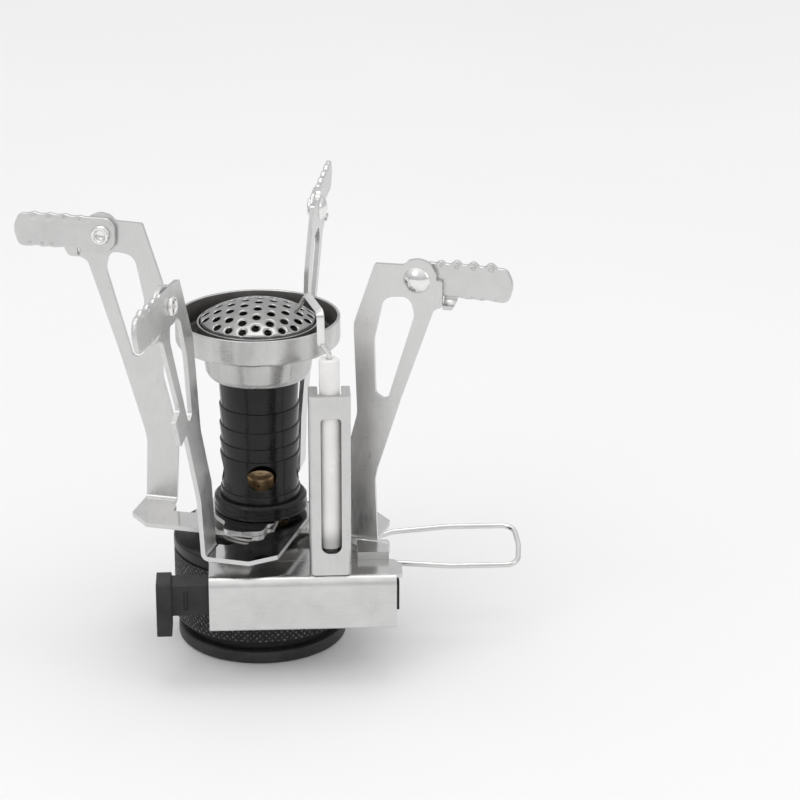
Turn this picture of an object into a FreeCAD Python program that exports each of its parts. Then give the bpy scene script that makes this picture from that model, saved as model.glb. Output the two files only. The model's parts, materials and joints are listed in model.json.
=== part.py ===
import FreeCAD, Part
import Sketcher
import math
import os

V = FreeCAD.Vector
doc = FreeCAD.newDocument("mini_gas_stove")

# ---------------------------------------------------------------- dimensions (millimetres, degrees)
# Frame: origin on the burner axis at the lowest face, +Z up, +X towards the wire handle,
# -Y towards the igniter housing.
SIZES = [
    # collar, valve and canister side
    ("collar_rad", 17.4), ("collar_low", 2.6), ("collar_top", 21.7), ("collar_recess", 16.6),
    ("collar_knurl_low", 4.3), ("collar_knurl_top", 19.0), ("collar_cup", 13.5), ("collar_cup_top", 4.0),
    ("thread_rad", 5.15), ("thread_top", 10.0), ("relief_rad", 5.6), ("relief_top", 13.0),
    ("core_rad", 5.95), ("core_bore", 6.0), ("gland_bore", 4.0),
    ("lip_rad", 16.8), ("lip_rise", 2.6),
    ("neck_rad", 5.5), ("neck_top", 27.9), ("gas_bore", 1.0), ("jet_bore", 2.05), ("jet_seat", 24.5),
    ("seal_major", 4.1), ("seal_minor", 0.9), ("pin_low", 10.2), ("pin_rad", 0.95),
    # spindle and wire handle
    ("spindle_level", 17.2), ("spindle_bore", 2.05), ("spindle_body", 2.0), ("spindle_stem", 1.6),
    ("spindle_end", 25.6), ("handle_x", 23.2), ("handle_hole", 0.62), ("wire_rad", 0.55), ("handle_tilt", 17.3),
    ("handle_reach", 51.5),
    # burner
    ("tube_rad", 7.85), ("tube_inner", 6.9), ("tube_low", 27.95), ("tube_top", 54.3), ("air_level", 35.5),
    ("air_rad", 2.9), ("nut_rad", 9.15), ("nut_low", 26.97), ("nut_top", 30.0),
    ("jet_top", 33.6), ("jet_rad", 2.6),
    ("ring_rad", 16.0), ("ring_low", 61.5), ("ring_top", 66.8), ("ring_wall", 0.6),
    ("dome_rad", 11.2), ("dome_ball", 20.6), ("dome_foot", 63.6), ("dome_apex", 69.56), ("dome_sheet", 0.5), ("dome_hole", 0.76), ("dome_pitch", 3.12), ("dome_twist", -94.6),
    ("rim_rad", 11.85), ("rim_top", 65.75),
    # arms
    ("sheet", 0.9), ("bend_inner", 0.6), ("plate_level", 26.0), ("offset_left", 3.6), ("offset_right", 3.6), ("offset_back", 3.95), ("offset_front", 3.45),
    ("lean_left", 0.05), ("lean_right", 0.05), ("lean_back", 0.042), ("lean_front", 0.066),
    ("arm_bore", 5.56), ("ring_eye", 9.0), ("foot_front", 10.1), ("foot_out", 25.05), ("foot_chamfer", 4.45),
    ("rivet_u", 33.5), ("rivet_w", 78.8), ("rivet_hole", 1.62), ("boss_rad", 4.0),
    ("angle_left", 162.6), ("angle_right", -18.0), ("angle_back", 78.4), ("angle_front", -108.3),
    ("level_right", 24.05), ("level_left", 25.0), ("level_front", 25.95), ("level_back", 26.9),
    # tips and rivets
    ("tip_sheet", 1.0), ("tip_gap", 0.06), ("tip_eye", 1.62), ("tip_length", 18.1), ("tip_half", 3.3),
    ("rivet_rad", 1.56), ("rivet_head", 2.55), ("rivet_dome", 1.3), ("rivet_tail", 1.95), ("back_raise", 8.0),
    # igniter
    ("house_left", -10.2), ("house_right", 25.7), ("house_front", -26.0), ("house_back", -17.5),
    ("house_low", 11.6), ("house_top", 22.4), ("house_sheet", 0.8), ("house_round", 2.0),
    ("bracket_sheet", 0.7), ("bracket_disc", 11.5),
    ("guard_left", 9.2), ("guard_right", 17.1), ("guard_front", -24.8), ("guard_back", -18.8), ("guard_top", 58.8), ("guard_sheet", 0.75),
    ("ceramic_x", 13.2), ("ceramic_y", -22.0), ("ceramic_rad", 1.95), ("ceramic_low", 18.6), ("ceramic_top", 65.5), ("ceramic_bore", 0.6),
    ("electrode_rad", 0.5),
    ("piezo_left", -9.9), ("piezo_right", 9.0), ("stem_low", 14.4), ("stem_top", 20.6), ("stem_front", -24.5), ("stem_back", -19.1),
    ("stem_left", -17.4), ("stem_right", -4.0), ("button_left", -20.3), ("button_front", -25.5), ("button_back", -18.7),
    ("button_low", 10.3), ("button_top", 21.3), ("piezo_cavity", 7.8), ("fit_gap", 0.05),
]
sheet = doc.addObject("Spreadsheet::Sheet", "Dims")
sheet.Label = "Dims"
for row, (alias, number) in enumerate(SIZES, start=1):
    sheet.set("A%d" % row, alias)
    sheet.set("B%d" % row, str(number))
    sheet.setAlias("B%d" % row, alias)
doc.recompute()


class Q:
    """A number of the sheet together with the expression that gives it."""

    def __init__(self, number, text):
        self.n = number
        self.e = text

    def _mix(self, other, sign, swap=False):
        o = other if isinstance(other, Q) else Q(float(other), repr(float(other)))
        a, b = (o, self) if swap else (self, o)
        n = {"+": a.n + b.n, "-": a.n - b.n, "*": a.n * b.n, "/": a.n / b.n if b.n else 0.0}[sign]
        return Q(n, "(%s %s %s)" % (a.e, sign, b.e))

    def __add__(self, o):
        return self._mix(o, "+")

    def __radd__(self, o):
        return self._mix(o, "+", True)

    def __sub__(self, o):
        return self._mix(o, "-")

    def __rsub__(self, o):
        return self._mix(o, "-", True)

    def __mul__(self, o):
        return self._mix(o, "*")

    def __rmul__(self, o):
        return self._mix(o, "*", True)

    def __truediv__(self, o):
        return self._mix(o, "/")

    def __neg__(self):
        return Q(0.0, "0.0") - self


def d(alias):
    return Q(float(sheet.get(alias)), "Dims.%s" % alias)


def num(x):
    return x.n if isinstance(x, Q) else float(x)


def bind(obj, prop, x):
    if isinstance(x, Q):
        obj.setExpression(prop, x.e)
    else:
        setattr(obj, prop, x)


KEEP = []


def keep(obj, label):
    obj.Label = label
    KEEP.append(obj)
    return obj


def prim(kind, name, **sizes):
    obj = doc.addObject(kind, name)
    place = sizes.pop("at", None)
    turn = sizes.pop("turn", None)
    for prop, x in sizes.items():
        bind(obj, prop, x)
    if place is not None:
        rot = turn if turn is not None else FreeCAD.Rotation()
        obj.Placement = FreeCAD.Placement(V(*[num(c) for c in place]), rot)
        for axis, c in zip("xyz", place):
            if isinstance(c, Q):
                obj.setExpression("Placement.Base.%s" % axis, c.e)
    return obj


def cut(name, base, tool):
    obj = doc.addObject("Part::Cut", name)
    obj.Base = base
    obj.Tool = tool
    return obj


def fuse(name, *parts):
    obj = doc.addObject("Part::MultiFuse", name)
    obj.Shapes = list(parts)
    obj.Refine = True
    return obj


def body(name):
    return doc.addObject("PartDesign::Body", name)


def plane_of(b, role):
    for f in b.Origin.OriginFeatures:
        if f.Role == role:
            return f
    raise RuntimeError(role)


def sketch(b, name, role, place=None):
    s = b.newObject("Sketcher::SketchObject", name)
    s.AttachmentSupport = [(plane_of(b, role), "")]
    s.MapMode = "FlatFace"
    if place is not None:
        s.AttachmentOffset = place
    return s


def pin_point(s, geo, pos, x, y):
    """Tie a sketch point to the sheet with horizontal and vertical distances from the origin."""
    for kind, c in (("DistanceX", x), ("DistanceY", y)):
        if abs(num(c)) < 1e-9:
            continue
        i = s.addConstraint(Sketcher.Constraint(kind, -1, 1, geo, pos, num(c)))
        if isinstance(c, Q):
            s.setExpression("Constraints[%d]" % i, c.e)


def polygon(s, pts, tie=True):
    """Closed line loop. Points may be plain numbers or sheet quantities."""
    first = s.GeometryCount
    n = len(pts)
    for i in range(n):
        a, b = pts[i], pts[(i + 1) % n]
        s.addGeometry(Part.LineSegment(V(num(a[0]), num(a[1]), 0), V(num(b[0]), num(b[1]), 0)), False)
    for i in range(n):
        s.addConstraint(Sketcher.Constraint("Coincident", first + i, 2, first + (i + 1) % n, 1))
    if tie:
        for i, (x, y) in enumerate(pts):
            pin_point(s, first + i, 1, x, y)
    return first


def ring_line(s, x, y, r):
    g = s.addGeometry(Part.Circle(V(num(x), num(y), 0), V(0, 0, 1), num(r)), False)
    i = s.addConstraint(Sketcher.Constraint("Radius", g, num(r)))
    if isinstance(r, Q):
        s.setExpression("Constraints[%d]" % i, r.e)
    pin_point(s, g, 3, x, y)
    return g


def soft_loop(s, pts):
    """Closed outline with rounded corners: each point is (x, y, corner radius)."""
    P = [(num(p[0]), num(p[1]), num(p[2]) if len(p) > 2 else 0.0) for p in pts]
    n = len(P)
    legs = []
    arcs = []
    for i in range(n):
        ax, ay, _ = P[i - 1]
        bx, by, r = P[i]
        cx, cy, _ = P[(i + 1) % n]
        u = V(ax - bx, ay - by, 0)
        w = V(cx - bx, cy - by, 0)
        lu, lw = u.Length, w.Length
        u.normalize()
        w.normalize()
        ang = math.acos(max(-1.0, min(1.0, u.dot(w))))
        if r <= 0 or ang > math.pi - 1e-3:
            legs.append((V(bx, by, 0), V(bx, by, 0)))
            arcs.append(None)
            continue
        cutback = min(r / math.tan(ang / 2.0), 0.49 * lu, 0.49 * lw)
        r = cutback * math.tan(ang / 2.0)
        p1 = V(bx, by, 0) + u * cutback
        p2 = V(bx, by, 0) + w * cutback
        bis = (u + w)
        bis.normalize()
        c = V(bx, by, 0) + bis * (r / math.sin(ang / 2.0))
        m = c - bis * r
        legs.append((p1, p2))
        arcs.append((p1, m, p2))
    ids = []
    for i in range(n):
        if arcs[i] is not None:
            s.addGeometry(Part.Arc(*arcs[i]), False)
        a = legs[i][1]
        b = legs[(i + 1) % n][0]
        if (a - b).Length > 1e-6:
            s.addGeometry(Part.LineSegment(a, b), False)
    return ids


def pad(b, s, name, length, both=None, mid=False, back=False):
    f = b.newObject("PartDesign::Pad", name)
    f.Profile = s
    if both is not None:
        f.SideType = "Two sides"
        f.Length = num(length)
        f.Length2 = num(both)
        if isinstance(length, Q):
            f.setExpression("Length", length.e)
        if isinstance(both, Q):
            f.setExpression("Length2", both.e)
    else:
        f.Length = num(length)
        if isinstance(length, Q):
            f.setExpression("Length", length.e)
        f.Midplane = mid
        f.Reversed = back
    s.Visibility = False
    return f


def pocket(b, s, name, length=None, back=False, mid=False):
    f = b.newObject("PartDesign::Pocket", name)
    f.Profile = s
    if length is None:
        f.Type = "ThroughAll"
    else:
        f.Type = "Length"
        f.Length = num(length)
        if isinstance(length, Q):
            f.setExpression("Length", length.e)
    f.Reversed = back
    f.Midplane = mid
    doc.recompute()
    before = f.BaseFeature.Shape.Volume if f.BaseFeature is not None else 0.0
    if not f.Shape.isNull() and abs(before - f.Shape.Volume) < 1e-4:
        raise RuntimeError("%s cut nothing" % name)
    return f


def turned(label, pts, name=None):
    """Body of revolution about Z from a closed (radius, height) outline."""
    b = body(name or label)
    s = sketch(b, label + "_profile", "XZ_Plane")
    polygon(s, pts)
    f = b.newObject("PartDesign::Revolution", label + "_turn")
    f.Profile = s
    f.ReferenceAxis = (s, ["V_Axis"])
    f.Angle = 360.0
    s.Visibility = False
    keep(b, label)
    doc.recompute()
    return b


def done(obj, where=None):
    if where is not None:
        obj.Placement = where
    return obj


# ---------------------------------------------------------------- canister side: collar, lip, valve
collar = turned("collar", [
    (d("thread_rad"), d("collar_cup_top")), (d("collar_cup"), d("collar_cup_top")), (d("collar_cup"), d("collar_low")),
    (d("collar_recess"), d("collar_low")), (d("collar_recess"), d("collar_knurl_low") - 0.5),
    (d("collar_rad"), d("collar_knurl_low")), (d("collar_rad"), d("collar_knurl_top")),
    (d("collar_rad") - 0.35, d("collar_knurl_top") + 0.1), (d("collar_rad") - 0.35, d("collar_knurl_top") + 0.45),
    (d("collar_rad"), d("collar_knurl_top") + 0.55), (d("collar_rad"), d("collar_top") - 0.6),
    (d("collar_rad") - 0.6, d("collar_top")), (d("core_bore"), d("collar_top")), (d("core_bore"), d("relief_top")),
    (d("relief_rad"), d("relief_top")), (d("relief_rad"), d("thread_top")), (d("thread_rad"), d("thread_top"))])
s = sketch(collar, "gland_hole", "YZ_Plane")
ring_line(s, 0.0, d("spindle_level"), d("gland_bore"))
pocket(collar, s, "gland_hole_cut", None, back=True)

seat_lip = turned("seat_lip", [
    (d("collar_cup"), 0.0), (d("lip_rad") - 0.5, 0.0), (d("lip_rad"), 0.5), (d("lip_rad"), d("lip_rise") - 0.3),
    (d("lip_rad") - 0.3, d("lip_rise")), (d("collar_cup"), d("lip_rise"))])

core = turned("valve_core", [
    (d("gas_bore"), d("relief_top")), (d("core_rad"), d("relief_top")), (d("core_rad"), d("collar_top")),
    (d("neck_rad"), d("collar_top")), (d("neck_rad"), d("neck_top") - 0.3), (d("neck_rad") - 0.3, d("neck_top")),
    (d("jet_bore"), d("neck_top")), (d("jet_bore"), d("jet_seat")), (d("gas_bore"), d("jet_seat"))])
s = sketch(core, "spindle_hole", "YZ_Plane")
ring_line(s, 0.0, d("spindle_level"), d("spindle_bore"))
pocket(core, s, "spindle_hole_cut", None, back=True)

keep(prim("Part::Torus", "canister_seal", Radius1=d("seal_major"), Radius2=d("seal_minor"),
          at=(0.0, 0.0, d("relief_top") - d("seal_minor") - 0.02)), "canister_seal")

pin_out = prim("Part::Cylinder", "pin_out", Radius=d("pin_rad"), Height=d("relief_top") + 0.8 - d("pin_low"), at=(0.0, 0.0, d("pin_low")))
pin_in = prim("Part::Cylinder", "pin_in", Radius=0.45, Height=12.0, at=(0.0, 0.0, d("pin_low") - 2.0))
keep(cut("depressor_pin", pin_out, pin_in), "depressor_pin")
keep(prim("Part::Cylinder", "gas_filter", Radius=d("gas_bore") - 0.03, Height=1.2, at=(0.0, 0.0, d("relief_top") + 0.85)), "gas_filter")

# needle spindle: one turned piece with a point, a sealing body, a stem and the cross hole of the wire handle
spin_at = FreeCAD.Placement(V(0, 0, num(d("spindle_level"))), FreeCAD.Rotation(V(1, 0, 0), num(d("handle_tilt"))))
spindle = body("spindle_body_doc")
s = sketch(spindle, "spindle_profile", "XY_Plane")
polygon(s, [(0.2, 0.0), (0.2, 0.15), (1.5, 0.95), (2.2, 0.95), (2.2, d("spindle_body")), (5.8, d("spindle_body")),
            (5.8, d("spindle_stem")), (d("spindle_end") - 0.4, d("spindle_stem")), (d("spindle_end"), d("spindle_stem") - 0.4),
            (d("spindle_end"), 0.0)])
f = spindle.newObject("PartDesign::Revolution", "spindle_turn")
f.Profile = s
f.ReferenceAxis = (s, ["H_Axis"])
f.Angle = 360.0
s = sketch(spindle, "cross_hole", "XZ_Plane")
ring_line(s, d("handle_x"), 0.0, d("handle_hole"))
pocket(spindle, s, "cross_hole_cut", 6.0, mid=True)
keep(spindle, "needle_spindle")
spindle.Placement = spin_at

gland = body("gland_doc")
s = sketch(gland, "gland_round", "YZ_Plane", FreeCAD.Placement(V(0, 0, 8.0), FreeCAD.Rotation()))
ring_line(s, 0.0, d("spindle_level"), d("gland_bore") - d("fit_gap"))
pad(gland, s, "gland_barrel", d("collar_rad") + 0.1 - 8.0)
s = sketch(gland, "gland_hex", "YZ_Plane", FreeCAD.Placement(V(0, 0, 17.5), FreeCAD.Rotation()))
hexr = 4.3
polygon(s, [(hexr * math.cos(math.radians(60 * k + 30)), d("spindle_level") + hexr * math.sin(math.radians(60 * k + 30))) for k in range(6)])
pad(gland, s, "gland_head", 2.4)
s = sketch(gland, "gland_bore_line", "YZ_Plane")
ring_line(s, 0.0, d("spindle_level"), d("spindle_stem") + d("fit_gap"))
pocket(gland, s, "gland_bore_cut", None, back=True)
keep(gland, "gland_nut")

seal_out = prim("Part::Cylinder", "seal_out", Radius=d("gland_bore") - 0.1, Height=1.6,
                at=(6.25, 0.0, d("spindle_level")), turn=FreeCAD.Rotation(V(0, 1, 0), 90))
seal_in = prim("Part::Cylinder", "seal_in", Radius=d("spindle_stem") + d("fit_gap"), Height=8.0,
               at=(4.0, 0.0, d("spindle_level")), turn=FreeCAD.Rotation(V(0, 1, 0), 90))
keep(cut("spindle_seal", seal_out, seal_in), "spindle_seal")

# wire handle: one closed wire loop whose two ends meet in the cross hole
hx = num(d("handle_x"))
reach = num(d("handle_reach"))


def rounded_wire(points, radii):
    """Open path of straight legs joined by tangent arcs."""
    out = []
    last = V(*points[0])
    for i in range(1, len(points) - 1):
        a, b, c = V(*points[i - 1]), V(*points[i]), V(*points[i + 1])
        u = (a - b)
        w = (c - b)
        lu, lw = u.Length, w.Length
        u.normalize()
        w.normalize()
        ang = u.getAngle(w)
        r = radii[i - 1]
        k = min(r / math.tan(ang / 2.0), 0.48 * lu, 0.48 * lw)
        r = k * math.tan(ang / 2.0)
        p1, p2 = b + u * k, b + w * k
        bis = u + w
        bis.normalize()
        m = b + bis * (r / math.sin(ang / 2.0) - r)
        if (p1 - last).Length > 1e-6:
            out.append(Part.LineSegment(last, p1).toShape())
        out.append(Part.Arc(p1, m, p2).toShape())
        last = p2
    out.append(Part.LineSegment(last, V(*points[-1])).toShape())
    return Part.Wire(out)


def rod(points, radii, r):
    path = rounded_wire(points, radii)
    p0 = V(*points[0])
    t0 = V(*points[1]) - p0
    t0.normalize()
    ring = Part.Wire([Part.Circle(p0, t0, r).toShape()])
    shell = path.makePipeShell([ring], True, False)
    return shell


wire_handle = doc.addObject("Part::Feature", "wire_handle")
wire_handle.Shape = rod([(hx, -0.05, 0), (hx, -3.2, 0), (26.2, -4.7, 0), (37.5, -6.0, 0), (reach - 0.6, -6.0, 0),
                         (reach, 0, 0), (reach - 0.6, 6.0, 0), (37.5, 6.0, 0), (26.2, 4.7, 0), (hx, 3.2, 0), (hx, 0.05, 0)],
                        [1.0, 1.6, 8.0, 2.6, 8.0, 2.6, 8.0, 1.6, 1.0], num(d("wire_rad")))
keep(wire_handle, "wire_handle")
wire_handle.Placement = spin_at

# ---------------------------------------------------------------- burner column
tr = d("tube_rad")
steps = [48.9, 45.0, 41.6, 38.9, 31.6]
pts = [(d("tube_inner"), d("tube_low")), (tr, d("tube_low"))]
for z in sorted(steps):
    pts += [(tr, z - 0.05), (tr - 0.28, z), (tr - 0.28, z + 0.25)]
pts += [(tr, d("tube_top")), (d("tube_inner"), d("tube_top"))]
tube = turned("mixing_tube", pts)
for k, role in ((0, "XZ_Plane"), (1, "YZ_Plane")):
    s = sketch(tube, "air_hole_%d" % k, role)
    ring_line(s, 0.0 if k else 0.3, d("air_level"), d("air_rad"))
    pocket(tube, s, "air_hole_%d_cut" % k, 40.0, mid=True)

turned("tube_nut", [
    (d("neck_rad") + d("fit_gap"), d("nut_low")), (d("nut_rad") - 0.2, d("nut_low")), (d("nut_rad"), d("nut_low") + 0.2),
    (d("nut_rad"), d("nut_top") - 0.5), (d("nut_rad") - 0.5, d("nut_top")), (tr + d("fit_gap"), d("nut_top")),
    (tr + d("fit_gap"), d("tube_low") - 0.02), (d("neck_rad") + d("fit_gap"), d("tube_low") - 0.02)])

turned("jet", [
    (0.25, d("jet_seat") + 0.1), (d("jet_bore") - d("fit_gap"), d("jet_seat") + 0.1), (d("jet_bore") - d("fit_gap"), d("neck_top") + 0.02),
    (d("jet_rad"), d("neck_top") + 0.02), (d("jet_rad"), d("jet_top") - 2.6), (d("jet_rad") - 0.5, d("jet_top") - 1.0),
    (d("jet_rad") - 1.3, d("jet_top")), (0.25, d("jet_top"))])

turned("burner_bowl", [
    (tr - 0.9, 54.42), (8.9, 54.6), (9.6, 54.9), (10.05, 55.4), (10.22, 56.2), (10.3, d("ring_low") - 0.02),
    (9.7, d("ring_low") - 0.02), (9.62, 56.3), (9.5, 55.7), (9.2, 55.35), (8.7, 55.15), (tr - 0.9, 55.0)])

turned("burner_ring", [
    (8.6, d("ring_low")), (d("ring_rad") - 1.3, d("ring_low")), (d("ring_rad") - 0.5, d("ring_low") + 0.3), (d("ring_rad"), d("ring_low") + 1.1),
    (d("ring_rad"), d("ring_top") - 0.15), (d("ring_rad") - 0.15, d("ring_top")),
    (d("ring_rad") - d("ring_wall") + 0.15, d("ring_top")), (d("ring_rad") - d("ring_wall"), d("ring_top") - 0.15),
    (d("ring_rad") - d("ring_wall"), d("ring_low") + 1.2), (d("ring_rad") - 1.4, d("ring_low") + 0.7), (8.6, d("ring_low") + 0.7)])

turned("dome_rim", [
    (d("rim_rad") - 0.45, d("ring_low") + 0.72), (d("rim_rad"), d("ring_low") + 0.72), (d("rim_rad"), d("rim_top") - 0.15),
    (d("rim_rad") - 0.15, d("rim_top")), (d("rim_rad") - 0.3, d("rim_top")), (d("rim_rad") - 0.45, d("rim_top") - 0.15)])

# perforated dome: shallow spherical shell with a short skirt and a hexagonal lattice of holes
half = num(d("dome_rad"))
ball = num(d("dome_ball"))
apex = num(d("dome_apex"))
foot = num(d("dome_foot"))
dome = body("dome_doc")
s = sketch(dome, "dome_profile", "XZ_Plane")
zc = apex - ball
th = num(d("dome_sheet"))


def on_ball(r, radius):
    return V(r, zc + math.sqrt(radius * radius - r * r), 0)


s.addGeometry(Part.Arc(on_ball(0, ball), on_ball(half * 0.55, ball), on_ball(half, ball)), False)
s.addGeometry(Part.LineSegment(on_ball(half, ball), V(half, foot, 0)), False)
s.addGeometry(Part.LineSegment(V(half, foot, 0), V(half - th, foot, 0)), False)
s.addGeometry(Part.LineSegment(V(half - th, foot, 0), on_ball(half - th, ball - th)), False)
s.addGeometry(Part.Arc(on_ball(half - th, ball - th), on_ball(half * 0.55, ball - th), on_ball(0, ball - th)), False)
s.addGeometry(Part.LineSegment(on_ball(0, ball - th), on_ball(0, ball)), False)
f = dome.newObject("PartDesign::Revolution", "dome_turn")
f.Profile = s
f.ReferenceAxis = (s, ["V_Axis"])
f.Angle = 360.0
s = sketch(dome, "dome_holes", "XY_Plane")
ring_line(s, 0.275, -0.19, d("dome_hole"))
pitch = num(d("dome_pitch"))
twist = math.radians(num(d("dome_twist")))
for i in range(-5, 6):
    for j in range(-5, 6):
        px = pitch * (i * math.cos(twist) + j * math.cos(twist + math.pi / 3))
        py = pitch * (i * math.sin(twist) + j * math.sin(twist + math.pi / 3))
        along = math.hypot(px, py)
        if along < 0.1:
            continue
        shrink = ball * math.sin(along / ball) / along
        x, y = px * shrink + 0.275, py * shrink - 0.19
        if math.hypot(x, y) > half - 1.15:
            continue
        s.addGeometry(Part.Circle(V(x, y, 0), V(0, 0, 1), num(d("dome_hole"))), False)
pocket(dome, s, "dome_holes_cut", None, back=True)
keep(dome, "flame_dome")

# fine wire gauze under the dome
gauze = body("gauze_doc")
s = sketch(gauze, "gauze_line", "XY_Plane", FreeCAD.Placement(V(0, 0, num(d("ring_low")) + 0.9), FreeCAD.Rotation()))
ring_line(s, 0.0, 0.0, 11.1)
pad(gauze, s, "gauze_disc", 0.3)
s = sketch(gauze, "gauze_holes", "XY_Plane")
for i in range(-4, 5):
    for j in range(-4, 5):
        if i * i + j * j <= 18:
            s.addGeometry(Part.Circle(V(i * 2.2, j * 2.2, 0), V(0, 0, 1), 0.6), False)
pocket(gauze, s, "gauze_holes_cut", None, back=True)
keep(gauze, "gauze")

# ---------------------------------------------------------------- bracket, washer
keep(cut("wave_washer",
         prim("Part::Cylinder", "washer_out", Radius=8.6, Height=0.62, at=(0.0, 0.0, d("house_top") + 0.05)),
         prim("Part::Cylinder", "washer_in", Radius=d("arm_bore"), Height=4.0, at=(0.0, 0.0, d("house_top") - 1.0))), "wave_washer")

bracket = body("bracket_doc")
s = sketch(bracket, "bracket_line", "XY_Plane", FreeCAD.Placement(V(0, 0, num(d("collar_top"))), FreeCAD.Rotation()))
soft_loop(s, [(d("house_left"), d("house_back") + 0.02, 0.6), (24.6, d("house_back") + 0.02, 0.0), (24.6, -16.9, 0.3), (21.5, -13.4, 1.0),
              (11.2, -3.0, 4.0), (11.2, 6.5, 5.0), (5.0, 11.3, 5.0), (-5.0, 11.3, 5.0), (-11.2, 6.5, 5.0), (-11.2, -4.0, 3.0)])
pad(bracket, s, "bracket_plate", d("bracket_sheet"))
s = sketch(bracket, "stop_tab_line", "XY_Plane", FreeCAD.Placement(V(0, 0, num(d("collar_top")) + 0.3), FreeCAD.Rotation()))
soft_loop(s, [(18.6, d("house_back") + 0.02, 0.0), (24.6, d("house_back") + 0.02, 0.0), (24.6, -13.6, 0.6), (22.7, -12.6, 0.6), (18.6, -11.3, 0.5)])
pad(bracket, s, "stop_tab", 1.9)
s = sketch(bracket, "neck_hole", "XY_Plane")
ring_line(s, 0.0, 0.0, d("arm_bore"))
pocket(bracket, s, "neck_hole_cut", None, back=True)
keep(bracket, "mount_bracket")

# ---------------------------------------------------------------- igniter housing
yf, yb, zl, zt, hs = d("house_front"), d("house_back"), d("house_low"), d("house_top"), num(d("house_sheet"))
house = body("house_doc")
s = sketch(house, "house_section", "YZ_Plane")
soft_loop(s, [(yf, zl, 0.5), (yb, zl, 0.5), (yb, zt, 0.2), (yf, zt, d("house_round"))])
soft_loop(s, [(yf + hs, zl + hs, 0.2), (yb - hs, zl + hs, 0.2), (yb - hs, zt - hs, 0.2), (yf + hs, zt - hs, d("house_round") - hs)])
pad(house, s, "house_tube", d("house_right"), both=-d("house_left"))
s = sketch(house, "top_end", "XY_Plane", FreeCAD.Placement(V(0, 0, num(zt) - hs), FreeCAD.Rotation()))
soft_loop(s, [(24.0, yb - 0.3, 0.0), (25.2, yb - 0.3, 0.0), (26.9, -19.3, 0.2), (26.9, -24.6, 0.5), (24.0, -24.6, 0.0)])
pad(house, s, "top_end_plate", d("house_sheet"))
s = sketch(house, "ceramic_hole", "XY_Plane")
ring_line(s, d("ceramic_x"), d("ceramic_y"), d("ceramic_rad") + 0.1)
# only the roof is opened for the ceramic rod
s.AttachmentOffset = FreeCAD.Placement(V(0, 0, num(zt) + 0.5), FreeCAD.Rotation())
pocket(house, s, "ceramic_hole_cut", 2.0)
keep(house, "igniter_housing")

# ---------------------------------------------------------------- electrode guard
gl, gr, gf, gb, gt, gs = d("guard_left"), d("guard_right"), d("guard_front"), d("guard_back"), d("guard_top"), num(d("guard_sheet"))
guard = body("guard_doc")
s = sketch(guard, "guard_section", "XY_Plane", FreeCAD.Placement(V(0, 0, num(zt) + 0.02), FreeCAD.Rotation()))
soft_loop(s, [(gl, gf, 1.1), (gr, gf, 1.1), (gr, gb, 0.15), (gr - gs, gb, 0.15), (gr - gs, gf + gs, 0.4), (gl + gs, gf + gs, 0.4),
              (gl + gs, gb, 0.15), (gl, gb, 0.15)])
pad(guard, s, "guard_channel", gt - zt - 0.02)
s = sketch(guard, "guard_slot", "XZ_Plane")
soft_loop(s, [(11.4, 26.9, 1.6), (15.3, 26.9, 1.6), (15.3, 54.4, 0.7), (11.4, 54.4, 0.7)])
pocket(guard, s, "guard_slot_cut", None, back=True)
s = sketch(guard, "guard_roof", "XY_Plane", FreeCAD.Placement(V(0, 0, num(gt) - gs), FreeCAD.Rotation()))
soft_loop(s, [(gl + 0.2, gf + 0.3, 0.0), (gr - 0.2, gf + 0.3, 0.0), (gr - 0.2, gb, 0.3), (15.45, gb, 0.3), (15.45, -23.0, 0.5),
              (14.6, -24.1, 0.3), (11.8, -24.1, 0.3), (10.95, -23.0, 0.5), (10.95, gb, 0.3), (gl + 0.2, gb, 0.3)])
pad(guard, s, "guard_roof_plate", gs)
keep(guard, "electrode_guard")

rod_out = prim("Part::Cylinder", "rod_out", Radius=d("ceramic_rad"), Height=d("ceramic_top") - d("ceramic_low"),
               at=(d("ceramic_x"), d("ceramic_y"), d("ceramic_low")))
rod_in = prim("Part::Cylinder", "rod_in", Radius=d("ceramic_bore"), Height=60.0,
              at=(d("ceramic_x"), d("ceramic_y"), d("ceramic_low") - 3.0))
keep(cut("ceramic_rod", rod_out, rod_in), "ceramic_rod")

cx, cy = num(d("ceramic_x")), num(d("ceramic_y"))
electrode = doc.addObject("Part::Feature", "electrode")
electrode.Shape = rod([(cx, cy, 18.58), (cx, cy, 66.4), (11.7, -22.0, 68.6), (11.6, -22.0, 74.6), (9.3, -12.6, 75.0), (7.5, -7.3, 70.0)],
                      [1.2, 1.0, 1.3, 1.6], num(d("electrode_rad")))
keep(electrode, "electrode")

# ---------------------------------------------------------------- piezo unit
pl, pr = d("piezo_left"), d("piezo_right")
sl, st, sf, sb = d("stem_low"), d("stem_top"), d("stem_front"), d("stem_back")
g = d("fit_gap")
block = prim("Part::Box", "piezo_block", Length=pr - pl, Width=6.5, Height=8.45, at=(pl, -24.9, 12.5))
hollow = prim("Part::Box", "piezo_hollow", Length=d("piezo_cavity") - pl + 1.0, Width=sb - sf + g * 2.0, Height=st - sl + g * 2.0,
              at=(pl - 1.0, sf - g, sl - g))
keep(cut("piezo_body", block, hollow), "piezo_body")

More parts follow.
